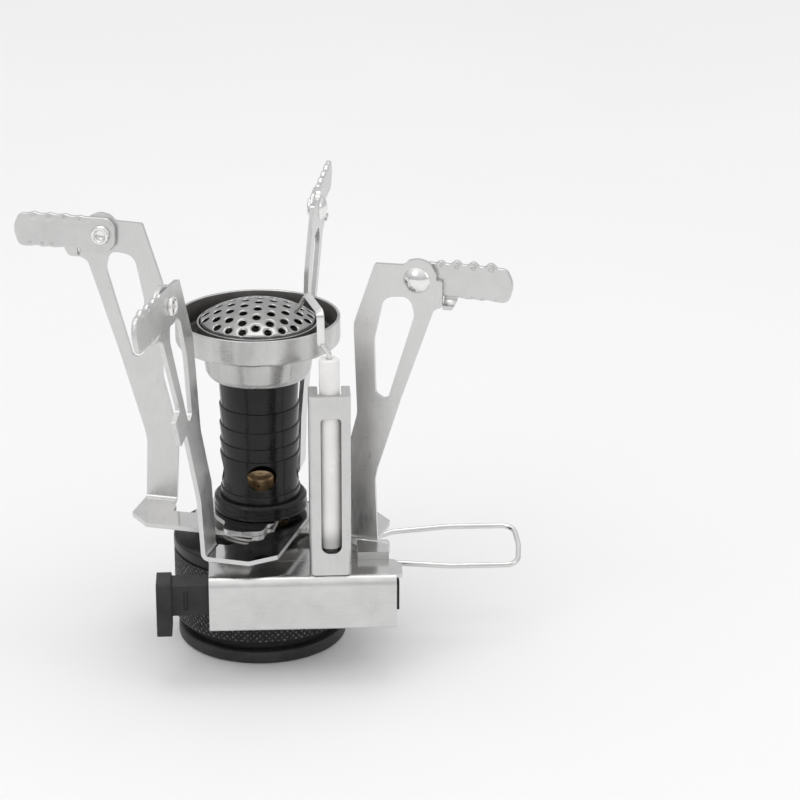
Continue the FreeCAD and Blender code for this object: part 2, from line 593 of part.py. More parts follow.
button = body("button_doc")
s = sketch(button, "stem_line", "YZ_Plane", FreeCAD.Placement(V(0, 0, num(d("stem_left")) - 0.1), FreeCAD.Rotation()))
polygon(s, [(sf, sl), (sb, sl), (sb, st), (sf, st)])
pad(button, s, "stem_bar", d("stem_right") - d("stem_left") + 0.1)
s = sketch(button, "head_line", "YZ_Plane", FreeCAD.Placement(V(0, 0, num(d("button_left"))), FreeCAD.Rotation()))
soft_loop(s, [(d("button_front"), d("button_low"), 0.7), (d("button_back"), d("button_low"), 0.7),
              (d("button_back"), d("button_top"), 0.7), (d("button_front"), d("button_top"), 0.7)])
pad(button, s, "head_block", d("stem_left") - d("button_left"))
s = sketch(button, "head_slot_line", "XZ_Plane", FreeCAD.Placement(V(0, 0, 24.2), FreeCAD.Rotation()))
polygon(s, [(-15.0, 15.6), (-14.3, 15.6), (-14.3, 19.4), (-15.0, 19.4)], tie=False)
pocket(button, s, "head_slot_cut", 3.0, back=True)
keep(button, "piezo_button")

spring = doc.addObject("Part::Feature", "piezo_spring")
turns, srad, swire = 5, 2.1, 0.3
length = num(d("piezo_cavity")) - num(d("stem_right")) - 0.7
helix = Part.makeHelix(length / turns, length, srad)
ring = Part.Wire([Part.Circle(V(srad, 0, 0), V(0, 1, 0), swire).toShape()])
spring.Shape = Part.Wire(helix.Edges).makePipeShell([ring], True, True)
keep(spring, "piezo_spring")
spring.Placement = FreeCAD.Placement(V(num(d("stem_right")) + 0.35, -21.8, 17.5), FreeCAD.Rotation(V(0, 1, 0), 90))

plug = body("plug_doc")
s = sketch(plug, "plug_line", "YZ_Plane", FreeCAD.Placement(V(0, 0, 17.6), FreeCAD.Rotation()))
soft_loop(s, [(-24.9, 13.0, 0.8), (-18.6, 13.0, 0.8), (-18.6, 21.2, 0.8), (-24.9, 21.2, 0.8)])
pad(plug, s, "plug_block", 8.0)
s = sketch(plug, "plug_nose", "YZ_Plane", FreeCAD.Placement(V(0, 0, 25.4), FreeCAD.Rotation()))
soft_loop(s, [(-24.4, 14.6, 0.6), (-21.0, 14.6, 0.6), (-21.0, 20.6, 0.6), (-24.4, 20.6, 0.6)])
pad(plug, s, "plug_nose_block", 0.9)
s = sketch(plug, "plug_cut_line", "XY_Plane")
polygon(s, [(20.0, -23.2), (23.5, -23.2), (23.5, -20.4), (20.0, -20.4)], tie=False)
pocket(plug, s, "plug_cut", None, back=True)
keep(plug, "end_plug")

lead = doc.addObject("Part::Feature", "ignition_lead")
lead.Shape = rod([(9.02, -21.8, 15.0), (10.9, -21.8, 15.0), (13.2, -22.0, 15.6), (13.2, -22.0, 18.55)], [1.2, 1.2], 0.8)
keep(lead, "ignition_lead")

# ---------------------------------------------------------------- the four folding arms
# Local frame of an arm: X outwards, Y to its open side, Z up. The foot lies flat and turns about the neck;
# the plate stands on the foot's clockwise edge and leans a little away from the foot.
ru, rw = num(d("rivet_u")), num(d("rivet_w"))
t = num(d("sheet"))


def arm(label, level, side, ear=False):
    lv = num(level)
    lean = num(d("lean_" + side))
    eps = math.atan(lean)
    k = math.sqrt(1 + lean * lean)
    n = (1 / k, lean / k)
    up = (-lean / k, 1 / k)
    p0 = (-num(d("offset_" + side)), num(d("plate_level")))
    ri = num(d("bend_inner"))
    ro = ri + t
    vc = p0[0] + (t / 2 + ri) * k - lean * (lv + ri - p0[1])
    c = (vc, lv + ri)
    top = 84.5
    # plate corner points at the top
    m0 = ((top - p0[1]) / up[1])
    mid = (p0[0] + up[0] * m0, top)
    b = body(label + "_doc")
    s = sketch(b, label + "_section", "YZ_Plane")
    inner_foot = V(vc, lv, 0)
    outer_foot = V(vc, lv - t, 0)
    inner_plate = V(c[0] - ri * n[0], c[1] - ri * n[1], 0)
    outer_plate = V(c[0] - ro * n[0], c[1] - ro * n[1], 0)
    a_mid = math.radians(270) - (math.radians(90) - eps) / 2
    in_mid = V(c[0] + ri * math.cos(a_mid), c[1] + ri * math.sin(a_mid), 0)
    out_mid = V(c[0] + ro * math.cos(a_mid), c[1] + ro * math.sin(a_mid), 0)
    tin = V(mid[0] + n[0] * t / 2, mid[1] + n[1] * t / 2, 0)
    tout = V(mid[0] - n[0] * t / 2, mid[1] - n[1] * t / 2, 0)
    ff = num(d("foot_front"))
    s.addGeometry(Part.LineSegment(V(ff, lv, 0), inner_foot), False)
    s.addGeometry(Part.Arc(inner_foot, in_mid, inner_plate), False)
    s.addGeometry(Part.LineSegment(inner_plate, tin), False)
    s.addGeometry(Part.LineSegment(tin, tout), False)
    s.addGeometry(Part.LineSegment(tout, outer_plate), False)
    s.addGeometry(Part.Arc(outer_plate, out_mid, outer_foot), False)
    s.addGeometry(Part.LineSegment(outer_foot, V(ff, lv - t, 0)), False)
    s.addGeometry(Part.LineSegment(V(ff, lv - t, 0), V(ff, lv, 0)), False)
    pad(b, s, label + "_strip", 40.0, both=18.0)

    # side contour, drawn in the leaning plate's own plane with the rivet at the origin height
    s0 = (rw - p0[1]) / up[1]
    o = (p0[0] + up[0] * s0, p0[1] + up[1] * s0)
    flat = FreeCAD.Placement(V(0, o[1], -o[0]), FreeCAD.Rotation(V(1, 0, 0), math.degrees(eps)))

    def at(u, w):
        return (u, (w - rw) * k)

    s = sketch(b, label + "_outline", "XZ_Plane", flat)
    low = lv - 0.06
    outline = [at(18.7, low) + (0,), at(18.2, 38.7) + (2.0,), at(19.6, 43.6) + (6,), at(21.45, 50.5) + (6,), at(21.05, 69.0) + (6,),
               at(25.35, 81.45) + (0.5,), at(31.0, 81.6) + (1.2,), at(31.9, 82.6) + (1.5,), at(34.0, 83.1) + (3,), at(36.2, 82.3) + (2.0,),
               at(37.3, 80.3) + (1.5,), at(37.3, 79.1) + (0.2,), at(38.4, 78.9) + (0.2,), at(38.4, 73.8) + (0.6,), at(36.7, 73.1) + (1.5,)]
    if ear:
        outline += [at(31.2, 57.9) + (0.8,), at(34.0, 56.3) + (0.4,), at(32.3, 51.0) + (0.4,), at(28.9, 52.4) + (0.8,)]
    else:
        outline += [at(30.1, 54.3) + (30,)]
    outline += [at(25.2, 39.0) + (4,), at(24.75, 36.9) + (4,), at(25.05, low) + (0,)]
    outline += [at(45, low) + (0,), at(45, 90) + (0,), at(-20, 90) + (0,), at(-20, low) + (0,)]
    soft_loop(s, outline)
    f = pocket(b, s, label + "_outline_cut", 60.0, mid=True)
    s = sketch(b, label + "_slot", "XZ_Plane", flat)
    soft_loop(s, [at(25.15, 55.0) + (1.2,), at(25.0, 66.0) + (6,), at(27.0, 74.9) + (2.6,), at(32.2, 75.5) + (2.4,), at(33.0, 71.8) + (3,), at(27.4, 53.6) + (1.2,)])
    pocket(b, s, label + "_slot_cut", 60.0, mid=True)
    s = sketch(b, label + "_rivet_hole", "XZ_Plane", flat)
    ring_line(s, d("rivet_u"), 0.0, d("rivet_hole"))
    pocket(b, s, label + "_rivet_hole_cut", 60.0, mid=True)

    # foot contour seen from above
    s = sketch(b, label + "_foot", "XY_Plane", FreeCAD.Placement(V(0, 0, lv + 0.3), FreeCAD.Rotation()))
    soft_loop(s, [(-30, -9.5, 0), (45, -9.5, 0), (45, 20, 0), (-30, 20, 0)])
    fo = num(d("foot_out"))
    ch = num(d("foot_chamfer"))
    R = num(d("ring_eye"))
    soft_loop(s, [(18.7, -8.0, 0), (fo, -8.0, 0), (fo, ff - ch, 0.4), (fo - ch, ff, 0.4), (-1.3, ff, 1.2),
                  (-6.6, 7.6, 3), (-9.3, 5.3, 1.0), (-13.2, 4.9, 1.5), (-14.0, 1.0, 2.2), (-13.0, -2.9, 1.6), (-9.3, -3.2, 1.0),
                  (-6.8, -7.4, 4), (0.0, -9.2, 5), (6.6, -7.4, 4), (9.2, -2.6, 3.0), (11.0, 2.4, 2.5), (14.0, 2.9, 0.6), (17.4, 2.9, 0.6), (17.6, 0.2, 0.5), (18.7, -0.6, 0.5)])
    pocket(b, s, label + "_foot_cut", t + 0.7)
    s = sketch(b, label + "_eye", "XY_Plane", FreeCAD.Placement(V(0, 0, lv + 0.5), FreeCAD.Rotation()))
    ring_line(s, 0.0, 0.0, d("arm_bore"))
    pocket(b, s, label + "_eye_cut", 3.0)
    keep(b, label)
    return b, o, eps


def tip(label):
    """Folding pot support: flat rounded bar with rippled edges, an eye, and a curled stop lug.
    Local frame: X outwards from the rivet, Y out of the arm's open face, Z up; the inner face lies at Y = 0."""
    b = body(label + "_doc")
    L, hw, ts = num(d("tip_length")), num(d("tip_half")), num(d("tip_sheet"))
    s = sketch(b, label + "_line", "XZ_Plane")
    upper = [(-3.0, 1.8, 1.6), (-1.4, hw + 0.15, 1.6), (2.2, hw + 0.1, 2.0), (4.6, hw - 0.35, 0.9), (6.0, hw + 0.05, 1.2), (7.6, hw - 0.5, 0.9),
             (9.0, hw + 0.05, 1.2), (10.6, hw - 0.5, 0.9), (12.0, hw + 0.05, 1.2), (13.6, hw - 0.55, 0.9), (15.1, hw - 0.05, 1.2), (17.2, hw - 0.2, 1.5)]
    lower = [(17.3, -hw - 0.2, 1.6), (14.8, -hw - 0.1, 1.2), (13.4, -hw + 0.15, 0.9), (12.2, -hw - 0.1, 1.0), (10.8, -hw + 0.1, 0.9), (9.6, -hw - 0.05, 1.0),
             (7.5, -hw + 0.25, 0.6), (4.9, -hw + 0.25, 0.6), (2.6, -hw - 0.2, 1.5), (-1.4, -hw - 0.15, 1.6), (-3.0, -1.8, 1.6)]
    end = [(L + 0.35, 0.2, 4.0)]
    soft_loop(s, upper + end + lower)
    pad(b, s, label + "_bar", d("tip_sheet"), back=True)
    s = sketch(b, label + "_eye", "XZ_Plane")
    ring_line(s, 0.0, 0.0, d("tip_eye"))
    pocket(b, s, label + "_eye_cut", 8.0, mid=True)
    # stop lug curled under the arm's shoulder
    c = body(label + "_lug_doc")
    s = sketch(c, label + "_lug_line", "YZ_Plane", FreeCAD.Placement(V(0, 0, 5.02), FreeCAD.Rotation()))
    zb = -hw + 0.25
    w = 0.8
    s.addGeometry(Part.LineSegment(V(ts, zb + 0.6, 0), V(ts, zb, 0)), False)
    s.addGeometry(Part.Arc(V(ts, zb, 0), V(ts - 0.66, zb - 1.6, 0), V(ts - 2.25, zb - 2.25, 0)), False)
    s.addGeometry(Part.LineSegment(V(ts - 2.25, zb - 2.25, 0), V(ts - 2.25, zb - 2.25 + w, 0)), False)
    s.addGeometry(Part.Arc(V(ts - 2.25, zb - 2.25 + w, 0), V(ts - 1.22, zb - 1.03, 0), V(ts - w, zb, 0)), False)
    s.addGeometry(Part.LineSegment(V(ts - w, zb, 0), V(ts - w, zb + 0.6, 0)), False)
    s.addGeometry(Part.LineSegment(V(ts - w, zb + 0.6, 0), V(ts, zb + 0.6, 0)), False)
    pad(c, s, label + "_lug", 2.6)
    doc.recompute()
    whole = doc.addObject("Part::Feature", label + "_whole")
    whole.Shape = b.Shape.fuse(c.Shape).removeSplitter()
    b = whole
    if b.Shape.Volume < 124.5 or len(b.Shape.Solids) != 1:
        raise RuntimeError("%s has no stop lug: %r" % (label, b.Shape.Volume))
    keep(b, label)
    return b


def rivet(label):
    """Domed head on the arm's outer face, shank through arm and tip, rolled hollow end on the tip.
    Local frame as the tip's: the arm plate lies from Y = -gap - sheet to Y = -gap."""
    ts, gap = num(d("tip_sheet")), num(d("tip_gap"))
    y_arm = -gap - t
    b = body(label + "_doc")
    s = sketch(b, label + "_profile", "XY_Plane")
    hr, hd, rr, tl = num(d("rivet_head")), num(d("rivet_dome")), num(d("rivet_rad")), num(d("rivet_tail"))
    y0 = y_arm - 0.02
    y1 = ts + 0.03
    rad = (hr * hr + hd * hd) / (2 * hd)
    yc = y0 - hd + rad
    a = math.asin(hr / rad) / 2
    geo = [
        Part.Arc(V(0, y0 - hd, 0), V(rad * math.sin(a), yc - rad * math.cos(a), 0), V(hr, y0, 0)),
        Part.LineSegment(V(hr, y0, 0), V(rr, y0, 0)),
        Part.LineSegment(V(rr, y0, 0), V(rr, y1, 0)),
        Part.LineSegment(V(rr, y1, 0), V(tl, y1, 0)),
        Part.LineSegment(V(tl, y1, 0), V(tl, y1 + 0.35, 0)),
        Part.Arc(V(tl, y1 + 0.35, 0), V(tl - 0.18, y1 + 0.62, 0), V(tl - 0.5, y1 + 0.72, 0)),
        Part.Arc(V(tl - 0.5, y1 + 0.72, 0), V(tl - 0.82, y1 + 0.6, 0), V(tl - 0.95, y1 + 0.3, 0)),
        Part.LineSegment(V(tl - 0.95, y1 + 0.3, 0), V(tl - 0.95, y1 - 0.4, 0)),
        Part.LineSegment(V(tl - 0.95, y1 - 0.4, 0), V(0, y1 - 0.4, 0)),
        Part.LineSegment(V(0, y1 - 0.4, 0), V(0, y0 - hd, 0)),
    ]
    for q in geo:
        s.addGeometry(q, False)
    f = b.newObject("PartDesign::Revolution", label + "_turn")
    f.Profile = s
    f.ReferenceAxis = (s, ["V_Axis"])
    f.Angle = 360.0
    keep(b, label)
    return b


def swing(az):
    return FreeCAD.Placement(V(0, 0, 0), FreeCAD.Rotation(V(0, 0, 1), num(az)))


for side, ear in (("left", False), ("right", False), ("back", False), ("front", True)):
    a_body, o, eps = arm("arm_" + side, d("level_" + side), side, ear)
    a_body.Placement = swing(d("angle_" + side))
    a_body.setExpression("Placement.Rotation.Angle", "Dims.angle_%s" % side)
    # inner face of the tip stands half a sheet plus the gap off the plate's middle
    off = t / 2 + num(d("tip_gap"))
    base = V(ru, o[0] + off * math.cos(eps), o[1] + off * math.sin(eps))
    tilt = FreeCAD.Rotation(V(1, 0, 0), math.degrees(eps))
    t_body = tip("tip_" + side)
    raised = num(d("back_raise")) if side == "back" else 0.0
    turn = FreeCAD.Rotation(V(0, 1, 0), -raised)
    t_body.Placement = swing(d("angle_" + side)).multiply(FreeCAD.Placement(base, tilt.multiply(turn)))
    r_body = rivet("rivet_" + side)
    r_body.Placement = swing(d("angle_" + side)).multiply(FreeCAD.Placement(base, tilt))

# ---------------------------------------------------------------- check and write
doc.recompute()
bad = []
for obj in doc.Objects:
    st_ = list(obj.State)
    if "Invalid" in st_ or "Error" in st_:
        bad.append("%s %s" % (obj.Name, st_))
for obj in KEEP:
    shp = obj.Shape
    if shp.isNull() or not shp.isValid() or not shp.Solids or shp.Volume <= 0:
        bad.append("%s has a bad shape" % obj.Label)
    elif len(shp.Solids) != 1:
        bad.append("%s has %d solids" % (obj.Label, len(shp.Solids)))
if bad:
    raise RuntimeError("; ".join(bad))
os.makedirs("parts", exist_ok=True)
for obj in KEEP:
    obj.Shape.exportStep("parts/%s.step" % obj.Label)
print("wrote", len(KEEP), "parts")
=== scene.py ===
import json
import math

import bmesh
import bpy
import numpy as np
from mathutils import Matrix, Vector
from mathutils.geometry import delaunay_2d_cdt


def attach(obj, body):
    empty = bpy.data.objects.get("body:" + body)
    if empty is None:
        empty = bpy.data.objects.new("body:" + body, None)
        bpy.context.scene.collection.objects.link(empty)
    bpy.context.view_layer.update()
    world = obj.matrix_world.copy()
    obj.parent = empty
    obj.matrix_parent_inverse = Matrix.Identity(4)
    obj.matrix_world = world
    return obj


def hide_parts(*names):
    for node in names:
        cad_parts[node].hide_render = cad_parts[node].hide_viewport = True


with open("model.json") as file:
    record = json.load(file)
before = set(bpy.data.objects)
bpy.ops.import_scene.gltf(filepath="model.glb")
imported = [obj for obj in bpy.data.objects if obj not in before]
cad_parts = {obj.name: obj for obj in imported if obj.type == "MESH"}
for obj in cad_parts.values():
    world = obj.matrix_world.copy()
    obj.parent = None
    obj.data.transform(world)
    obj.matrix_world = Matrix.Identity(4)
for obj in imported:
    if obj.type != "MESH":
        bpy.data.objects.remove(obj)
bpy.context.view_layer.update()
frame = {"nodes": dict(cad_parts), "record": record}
MM = 0.001
NODES = frame["nodes"]
BODY = {n: b for b, ns in frame["record"]["behaviour"]["bodies"].items() for n in ns}


# ------------------------------------------------------------------ node materials
class Mat:
    def __init__(self, name, metallic=0.0, rough=0.4, **principled):
        self.m = bpy.data.materials.new(name)
        self.m.use_nodes = True
        self.t = self.m.node_tree
        self.t.nodes.clear()
        out = self.t.nodes.new("ShaderNodeOutputMaterial")
        self.b = self.t.nodes.new("ShaderNodeBsdfPrincipled")
        self.t.links.new(self.b.outputs["BSDF"], out.inputs["Surface"])
        self.b.inputs["Metallic"].default_value = metallic
        self.b.inputs["Roughness"].default_value = rough
        for k, v in principled.items():
            self.b.inputs[k.replace("_", " ")].default_value = v
        self.co = self.t.nodes.new("ShaderNodeTexCoord").outputs["Object"]

    def put(self, socket, value):
        if isinstance(value, bpy.types.NodeSocket):
            self.t.links.new(value, socket)
        elif isinstance(value, (tuple, list)) and len(value) == 3 and socket.type == "RGBA":
            socket.default_value = (*value, 1.0)
        else:
            socket.default_value = value

    def node(self, kind, props=None, **ins):
        n = self.t.nodes.new(kind)
        for k, v in (props or {}).items():
            setattr(n, k, v)
        for k, v in ins.items():
            key = int(k[1:]) if k[0] == "i" and k[1:].isdigit() else k.replace("_", " ")
            self.put(n.inputs[key], v)
        return n

    def scaled(self, scale):
        return self.node("ShaderNodeMapping", None, Vector=self.co, Scale=scale).outputs[0]

    def noise(self, scale, detail=3.0, rough=0.55, at=None, warp=0.0):
        return self.node("ShaderNodeTexNoise", None, Vector=at if at is not None else self.co, Scale=scale,
                         Detail=detail, Roughness=rough, Distortion=warp).outputs["Fac"]

    def math(self, op, a, b=0.0, c=0.0):
        return self.node("ShaderNodeMath", {"operation": op}, i0=a, i1=b, i2=c).outputs[0]

    def remap(self, v, a, b, c, d, smooth=False):
        return self.node("ShaderNodeMapRange", {"interpolation_type": "SMOOTHSTEP" if smooth else "LINEAR"},
                         i0=v, i1=a, i2=b, i3=c, i4=d).outputs[0]

    def mix(self, fac, a, b):
        n = self.node("ShaderNodeMix", {"data_type": "RGBA"})
        self.put(n.inputs[0], fac)
        self.put(n.inputs[6], a)
        self.put(n.inputs[7], b)
        return n.outputs[2]

    def bump(self, height, strength, distance, normal=None):
        n = self.node("ShaderNodeBump", None, Height=height, Strength=strength, Distance=distance)
        if normal is not None:
            self.put(n.inputs["Normal"], normal)
        return n.outputs[0]

    def rounded(self, radius):
        return self.node("ShaderNodeBevel", {"samples": 6}, Radius=radius).outputs[0]

    def xyz(self):
        return self.node("ShaderNodeSeparateXYZ", None, i0=self.co).outputs

    def radius(self):
        x, y, _ = self.xyz()
        return self.math("SQRT", self.math("ADD", self.math("MULTIPLY", x, x), self.math("MULTIPLY", y, y)))

    def color(self, v):
        self.put(self.b.inputs["Base Color"], v)

    def rough(self, v):
        self.put(self.b.inputs["Roughness"], v)

    def normal(self, v):
        self.put(self.b.inputs["Normal"], v)


def steel(name, tone, rough, grain, depth=0.25, blotch=0.06, edge=0.00010, fine=0.035, tint=(1.0, 0.995, 0.985), flat_rough=None):
    """Rolled or brushed stainless sheet: directional grain, cloudy rolling marks, softened cut edges."""
    m = Mat(name, metallic=1.0, rough=rough)
    lines = m.noise(1.0, 4.0, 0.6, at=m.scaled(grain))
    cloud = m.noise(170.0, 4.0, 0.55, warp=0.6)
    specks = m.noise(2600.0, 2.0, 0.5)
    v = m.math("ADD", m.remap(cloud, 0.3, 0.7, -blotch, blotch), m.remap(lines, 0.3, 0.7, -fine, fine))
    light = tuple(min(1.0, tone * c * 1.12) for c in tint)
    dark = tuple(tone * c * 0.86 for c in tint)
    m.color(m.mix(m.remap(v, -0.13, 0.13, 0.0, 1.0), dark, light))
    r = m.math("ADD", m.remap(lines, 0.3, 0.7, -0.05, 0.06), m.remap(cloud, 0.3, 0.7, -0.04, 0.05))
    r = m.math("ADD", m.math("ADD", r, m.remap(specks, 0.45, 0.7, 0.0, 0.05)), rough)
    if flat_rough is not None:
        up_face = m.node("ShaderNodeSeparateXYZ", None, i0=m.node("ShaderNodeNewGeometry").outputs["Normal"]).outputs[2]
        r = m.math("MULTIPLY", r, m.remap(up_face, 0.80, 0.97, 1.0, flat_rough / rough))
    m.rough(r)
    n = m.rounded(edge) if edge else None
    n = m.bump(lines, depth, 0.000012, n)
    m.normal(m.bump(specks, depth * 0.06, 0.000006, n))
    return m


def turned_steel(name, tone, rough, blotch=0.05, streak=0.10, tint=(1.0, 0.995, 0.985), edge=None):
    """Lathe-turned steel: fine rings around Z, and soft upright bands of painted reflection in the tone."""
    m = Mat(name, metallic=1.0, rough=rough)
    x, y, z = m.xyz()
    rad = m.radius()
    rings = m.noise(1.0, 3.0, 0.6, at=m.node("ShaderNodeCombineXYZ", None, i0=m.math("MULTIPLY", rad, 9000.0),
                                             i1=0.0, i2=m.math("MULTIPLY", z, 9000.0)).outputs[0])
    ang = m.node("ShaderNodeMath", {"operation": "ARCTAN2"}, i0=y, i1=x).outputs[0]
    # painted reflection: slow bands around the axis lighten and darken the colour like reflected upright stripes
    band = m.noise(1.0, 2.0, 0.5, at=m.node("ShaderNodeCombineXYZ", None, i0=m.math("MULTIPLY", m.math("SINE", ang), 3.2),
                                            i1=m.math("MULTIPLY", m.math("COSINE", ang), 3.2), i2=m.math("MULTIPLY", z, 60.0)).outputs[0])
    cloud = m.noise(260.0, 4.0, 0.6, warp=0.4)
    v = m.math("ADD", m.remap(rings, 0.3, 0.7, -0.03, 0.03), m.remap(band, 0.3, 0.7, -streak, streak))
    v = m.math("ADD", v, m.remap(cloud, 0.3, 0.7, -blotch, blotch))
    m.color(m.mix(m.remap(v, -0.2, 0.2, 0.0, 1.0), tuple(tone * c * 0.72 for c in tint), tuple(min(1, tone * c * 1.18) for c in tint)))
    m.rough(m.math("ADD", m.remap(rings, 0.3, 0.7, -0.05, 0.06), m.math("ADD", m.remap(cloud, 0.3, 0.7, -0.04, 0.04), rough)))
    m.normal(m.bump(rings, 0.3, 0.000012, m.rounded(edge) if edge else None))
    return m


def dark_metal(name, base, rough, coat=0.0, noise_scale=900.0, wear=0.0, spec=0.5, edge=0.0001):
    """Anodised or painted black metal with faint cloudiness, pin specks and rubbed-bare edges."""
    m = Mat(name, metallic=0.0, rough=rough, Coat_Weight=coat, Coat_Roughness=0.12, Specular_IOR_Level=spec)
    cloud = m.noise(220.0, 3.0, 0.5)
    grain = m.noise(noise_scale, 3.0, 0.6)
    lo, hi = tuple(c * 0.75 for c in base), tuple(min(1.0, c * 1.6 + 0.004) for c in base)
    c = m.mix(m.remap(m.math("ADD", cloud, m.math("MULTIPLY", grain, 0.5)), 0.5, 1.0, 0.0, 1.0), lo, hi)
    if wear:
        geo = m.node("ShaderNodeNewGeometry")
        c = m.mix(m.remap(geo.outputs["Pointiness"], 0.52, 0.62, 0.0, wear), c, (0.32, 0.32, 0.33))
    m.color(c)
    m.rough(m.math("ADD", m.remap(grain, 0.3, 0.7, -0.05, 0.07), rough))
    m.normal(m.bump(grain, 0.18, 0.00002, m.rounded(edge) if edge else None))
    return m


M = {}
M["arm"] = steel("arm_steel", 0.68, 0.32, (2600, 2600, 420), depth=0.12, blotch=0.05, edge=0.0, flat_rough=0.10)
M["tip"] = steel("tip_steel", 0.66, 0.34, (900, 900, 2600), depth=0.2, blotch=0.06, edge=0.0)
M["sheet"] = steel("housing_steel", 0.66, 0.33, (260, 2200, 2600), depth=0.2, blotch=0.07, edge=0.0, flat_rough=0.17)
M["guard"] = steel("guard_steel", 0.64, 0.30, (2600, 2600, 260), depth=0.2, blotch=0.05, edge=0.0)
M["ring"] = turned_steel("ring_steel", 0.58, 0.27, streak=0.13)
M["bowl"] = turned_steel("bowl_steel", 0.52, 0.25, streak=0.10)
M["rim"] = turned_steel("rim_steel", 0.42, 0.22)
M["dome"] = turned_steel("dome_steel", 0.40, 0.22, blotch=0.07, streak=0.05)
M["wire"] = steel("wire_steel", 0.72, 0.16, (3000, 3000, 3000), depth=0.1, edge=0.0)
M["strip"] = steel("electrode_steel", 0.82, 0.20, (3000, 3000, 700), depth=0.1, edge=0.0)
M["rivet"] = steel("rivet_polished", 0.86, 0.13, (1500, 1500, 1500), depth=0.06, blotch=0.04, edge=0.0)
M["brass"] = steel("brass_turned", 0.88, 0.52, (5000, 5000, 5000), depth=0.3, blotch=0.08, edge=0.00005, tint=(1.0, 0.72, 0.40))
M["tube"] = dark_metal("tube_black", (0.006, 0.006, 0.0065), 0.17, coat=0.0, spec=0.30, edge=0.0)
M["nut"] = dark_metal("nut_black", (0.005, 0.005, 0.0055), 0.22, coat=0.0, spec=0.30, edge=0.0)
M["plastic"] = dark_metal("piezo_plastic", (0.018, 0.018, 0.019), 0.50, noise_scale=1400.0, spec=0.35, edge=0.00018)
M["rubber"] = dark_metal("seal_rubber", (0.02, 0.02, 0.02), 0.6)
M["lip"] = dark_metal("lip_grey", (0.026, 0.026, 0.027), 0.46, noise_scale=1800.0, spec=0.3, edge=0.0)


def cup_inside_painted_shade():
    """Inside of the burner cup: painted shade, darker low down in the recess, with a lighter upper lip."""
    m = Mat("cup_inside", metallic=0.85, rough=0.42)
    _, _, z = m.xyz()
    cup_mottle = m.noise(420.0, 5.0, 0.6, warp=0.8)
    spots = m.noise(1500.0, 3.0, 0.6)
    # painted shade: the colour darkens towards the bottom of the cup's inside, with the boundary wobbled by noise
    low = m.remap(m.math("ADD", z, m.remap(cup_mottle, 0.3, 0.7, -0.0006, 0.0006)), 0.0621, 0.0664, 0.0, 1.0, True)
    c = m.mix(low, (0.10, 0.097, 0.093), (0.30, 0.29, 0.28))
    m.color(m.mix(m.remap(spots, 0.55, 0.75, 0.0, 0.5), c, (0.30, 0.29, 0.28)))
    m.rough(m.remap(cup_mottle, 0.3, 0.7, 0.34, 0.52))
    m.normal(m.bump(spots, 0.25, 0.00002))
    return m


def knurled_black():
    m = Mat("knurl_black", metallic=0.0, rough=0.34, Specular_IOR_Level=0.32)
    _, _, z = m.xyz()
    rad = m.radius()
    peak = m.remap(rad, 0.01722, 0.01741, 0.0, 1.0)
    inband = m.math("MULTIPLY", m.remap(z, 0.0043, 0.0046, 0.0, 1.0), m.remap(z, 0.0188, 0.0190, 1.0, 0.0))
    grit = m.noise(1300.0, 4.0, 0.65)
    # wear and painted highlight: knurl peaks inside the band are mixed towards light grey, partly rubbed metal, partly
    # standing in for glints
    peak_wear_and_highlight = m.math("MULTIPLY", m.math("MULTIPLY", peak, inband), m.remap(grit, 0.40, 0.62, 0.1, 0.75))
    c = m.mix(m.remap(grit, 0.3, 0.7, 0.0, 1.0), (0.005, 0.005, 0.0055), (0.013, 0.013, 0.014))
    m.color(m.mix(peak_wear_and_highlight, c, (0.34, 0.34, 0.35)))
    m.rough(m.remap(grit, 0.3, 0.7, 0.28, 0.45))
    m.normal(m.bump(grit, 0.2, 0.00003))
    return m


def glazed():
    m = Mat("ceramic_white", metallic=0.0, rough=0.22, Coat_Weight=0.4, Coat_Roughness=0.1)
    _, _, z = m.xyz()
    cloud = m.noise(180.0, 3.0, 0.5)
    c = m.mix(m.remap(cloud, 0.3, 0.7, 0.0, 1.0), (0.80, 0.79, 0.77), (0.90, 0.89, 0.87))
    # painted shade: the rod greys towards its lower end, from z 32.5 mm down to 28.5 mm
    c = m.mix(m.remap(z, 0.0285, 0.0325, 0.62, 0.0, True), c, (0.17, 0.17, 0.17))
    # painted shade: the rod is near black below z 27.7 mm
    m.color(m.mix(m.remap(z, 0.02765, 0.02775, 1.0, 0.0), c, (0.006, 0.006, 0.006)))
    m.rough(m.remap(cloud, 0.3, 0.7, 0.18, 0.3))
    m.normal(m.bump(m.noise(700.0, 2.0), 0.08, 0.00004))
    return m


def mesh_wire():
    m = Mat("gauze_wire", metallic=0.7, rough=0.5)
    x, y, _ = m.xyz()
    weave = m.math("MULTIPLY", m.math("SINE", m.math("MULTIPLY", x, 9000.0)), m.math("SINE", m.math("MULTIPLY", y, 9000.0)))
    m.color(m.mix(m.remap(weave, -1.0, 1.0, 0.0, 1.0), (0.012, 0.012, 0.012), (0.09, 0.085, 0.08)))
    m.normal(m.bump(weave, 0.6, 0.0001))
    return m


M["inside"] = cup_inside_painted_shade()
M["knurl"] = knurled_black()
M["ceramic"] = glazed()
M["gauze"] = mesh_wire()


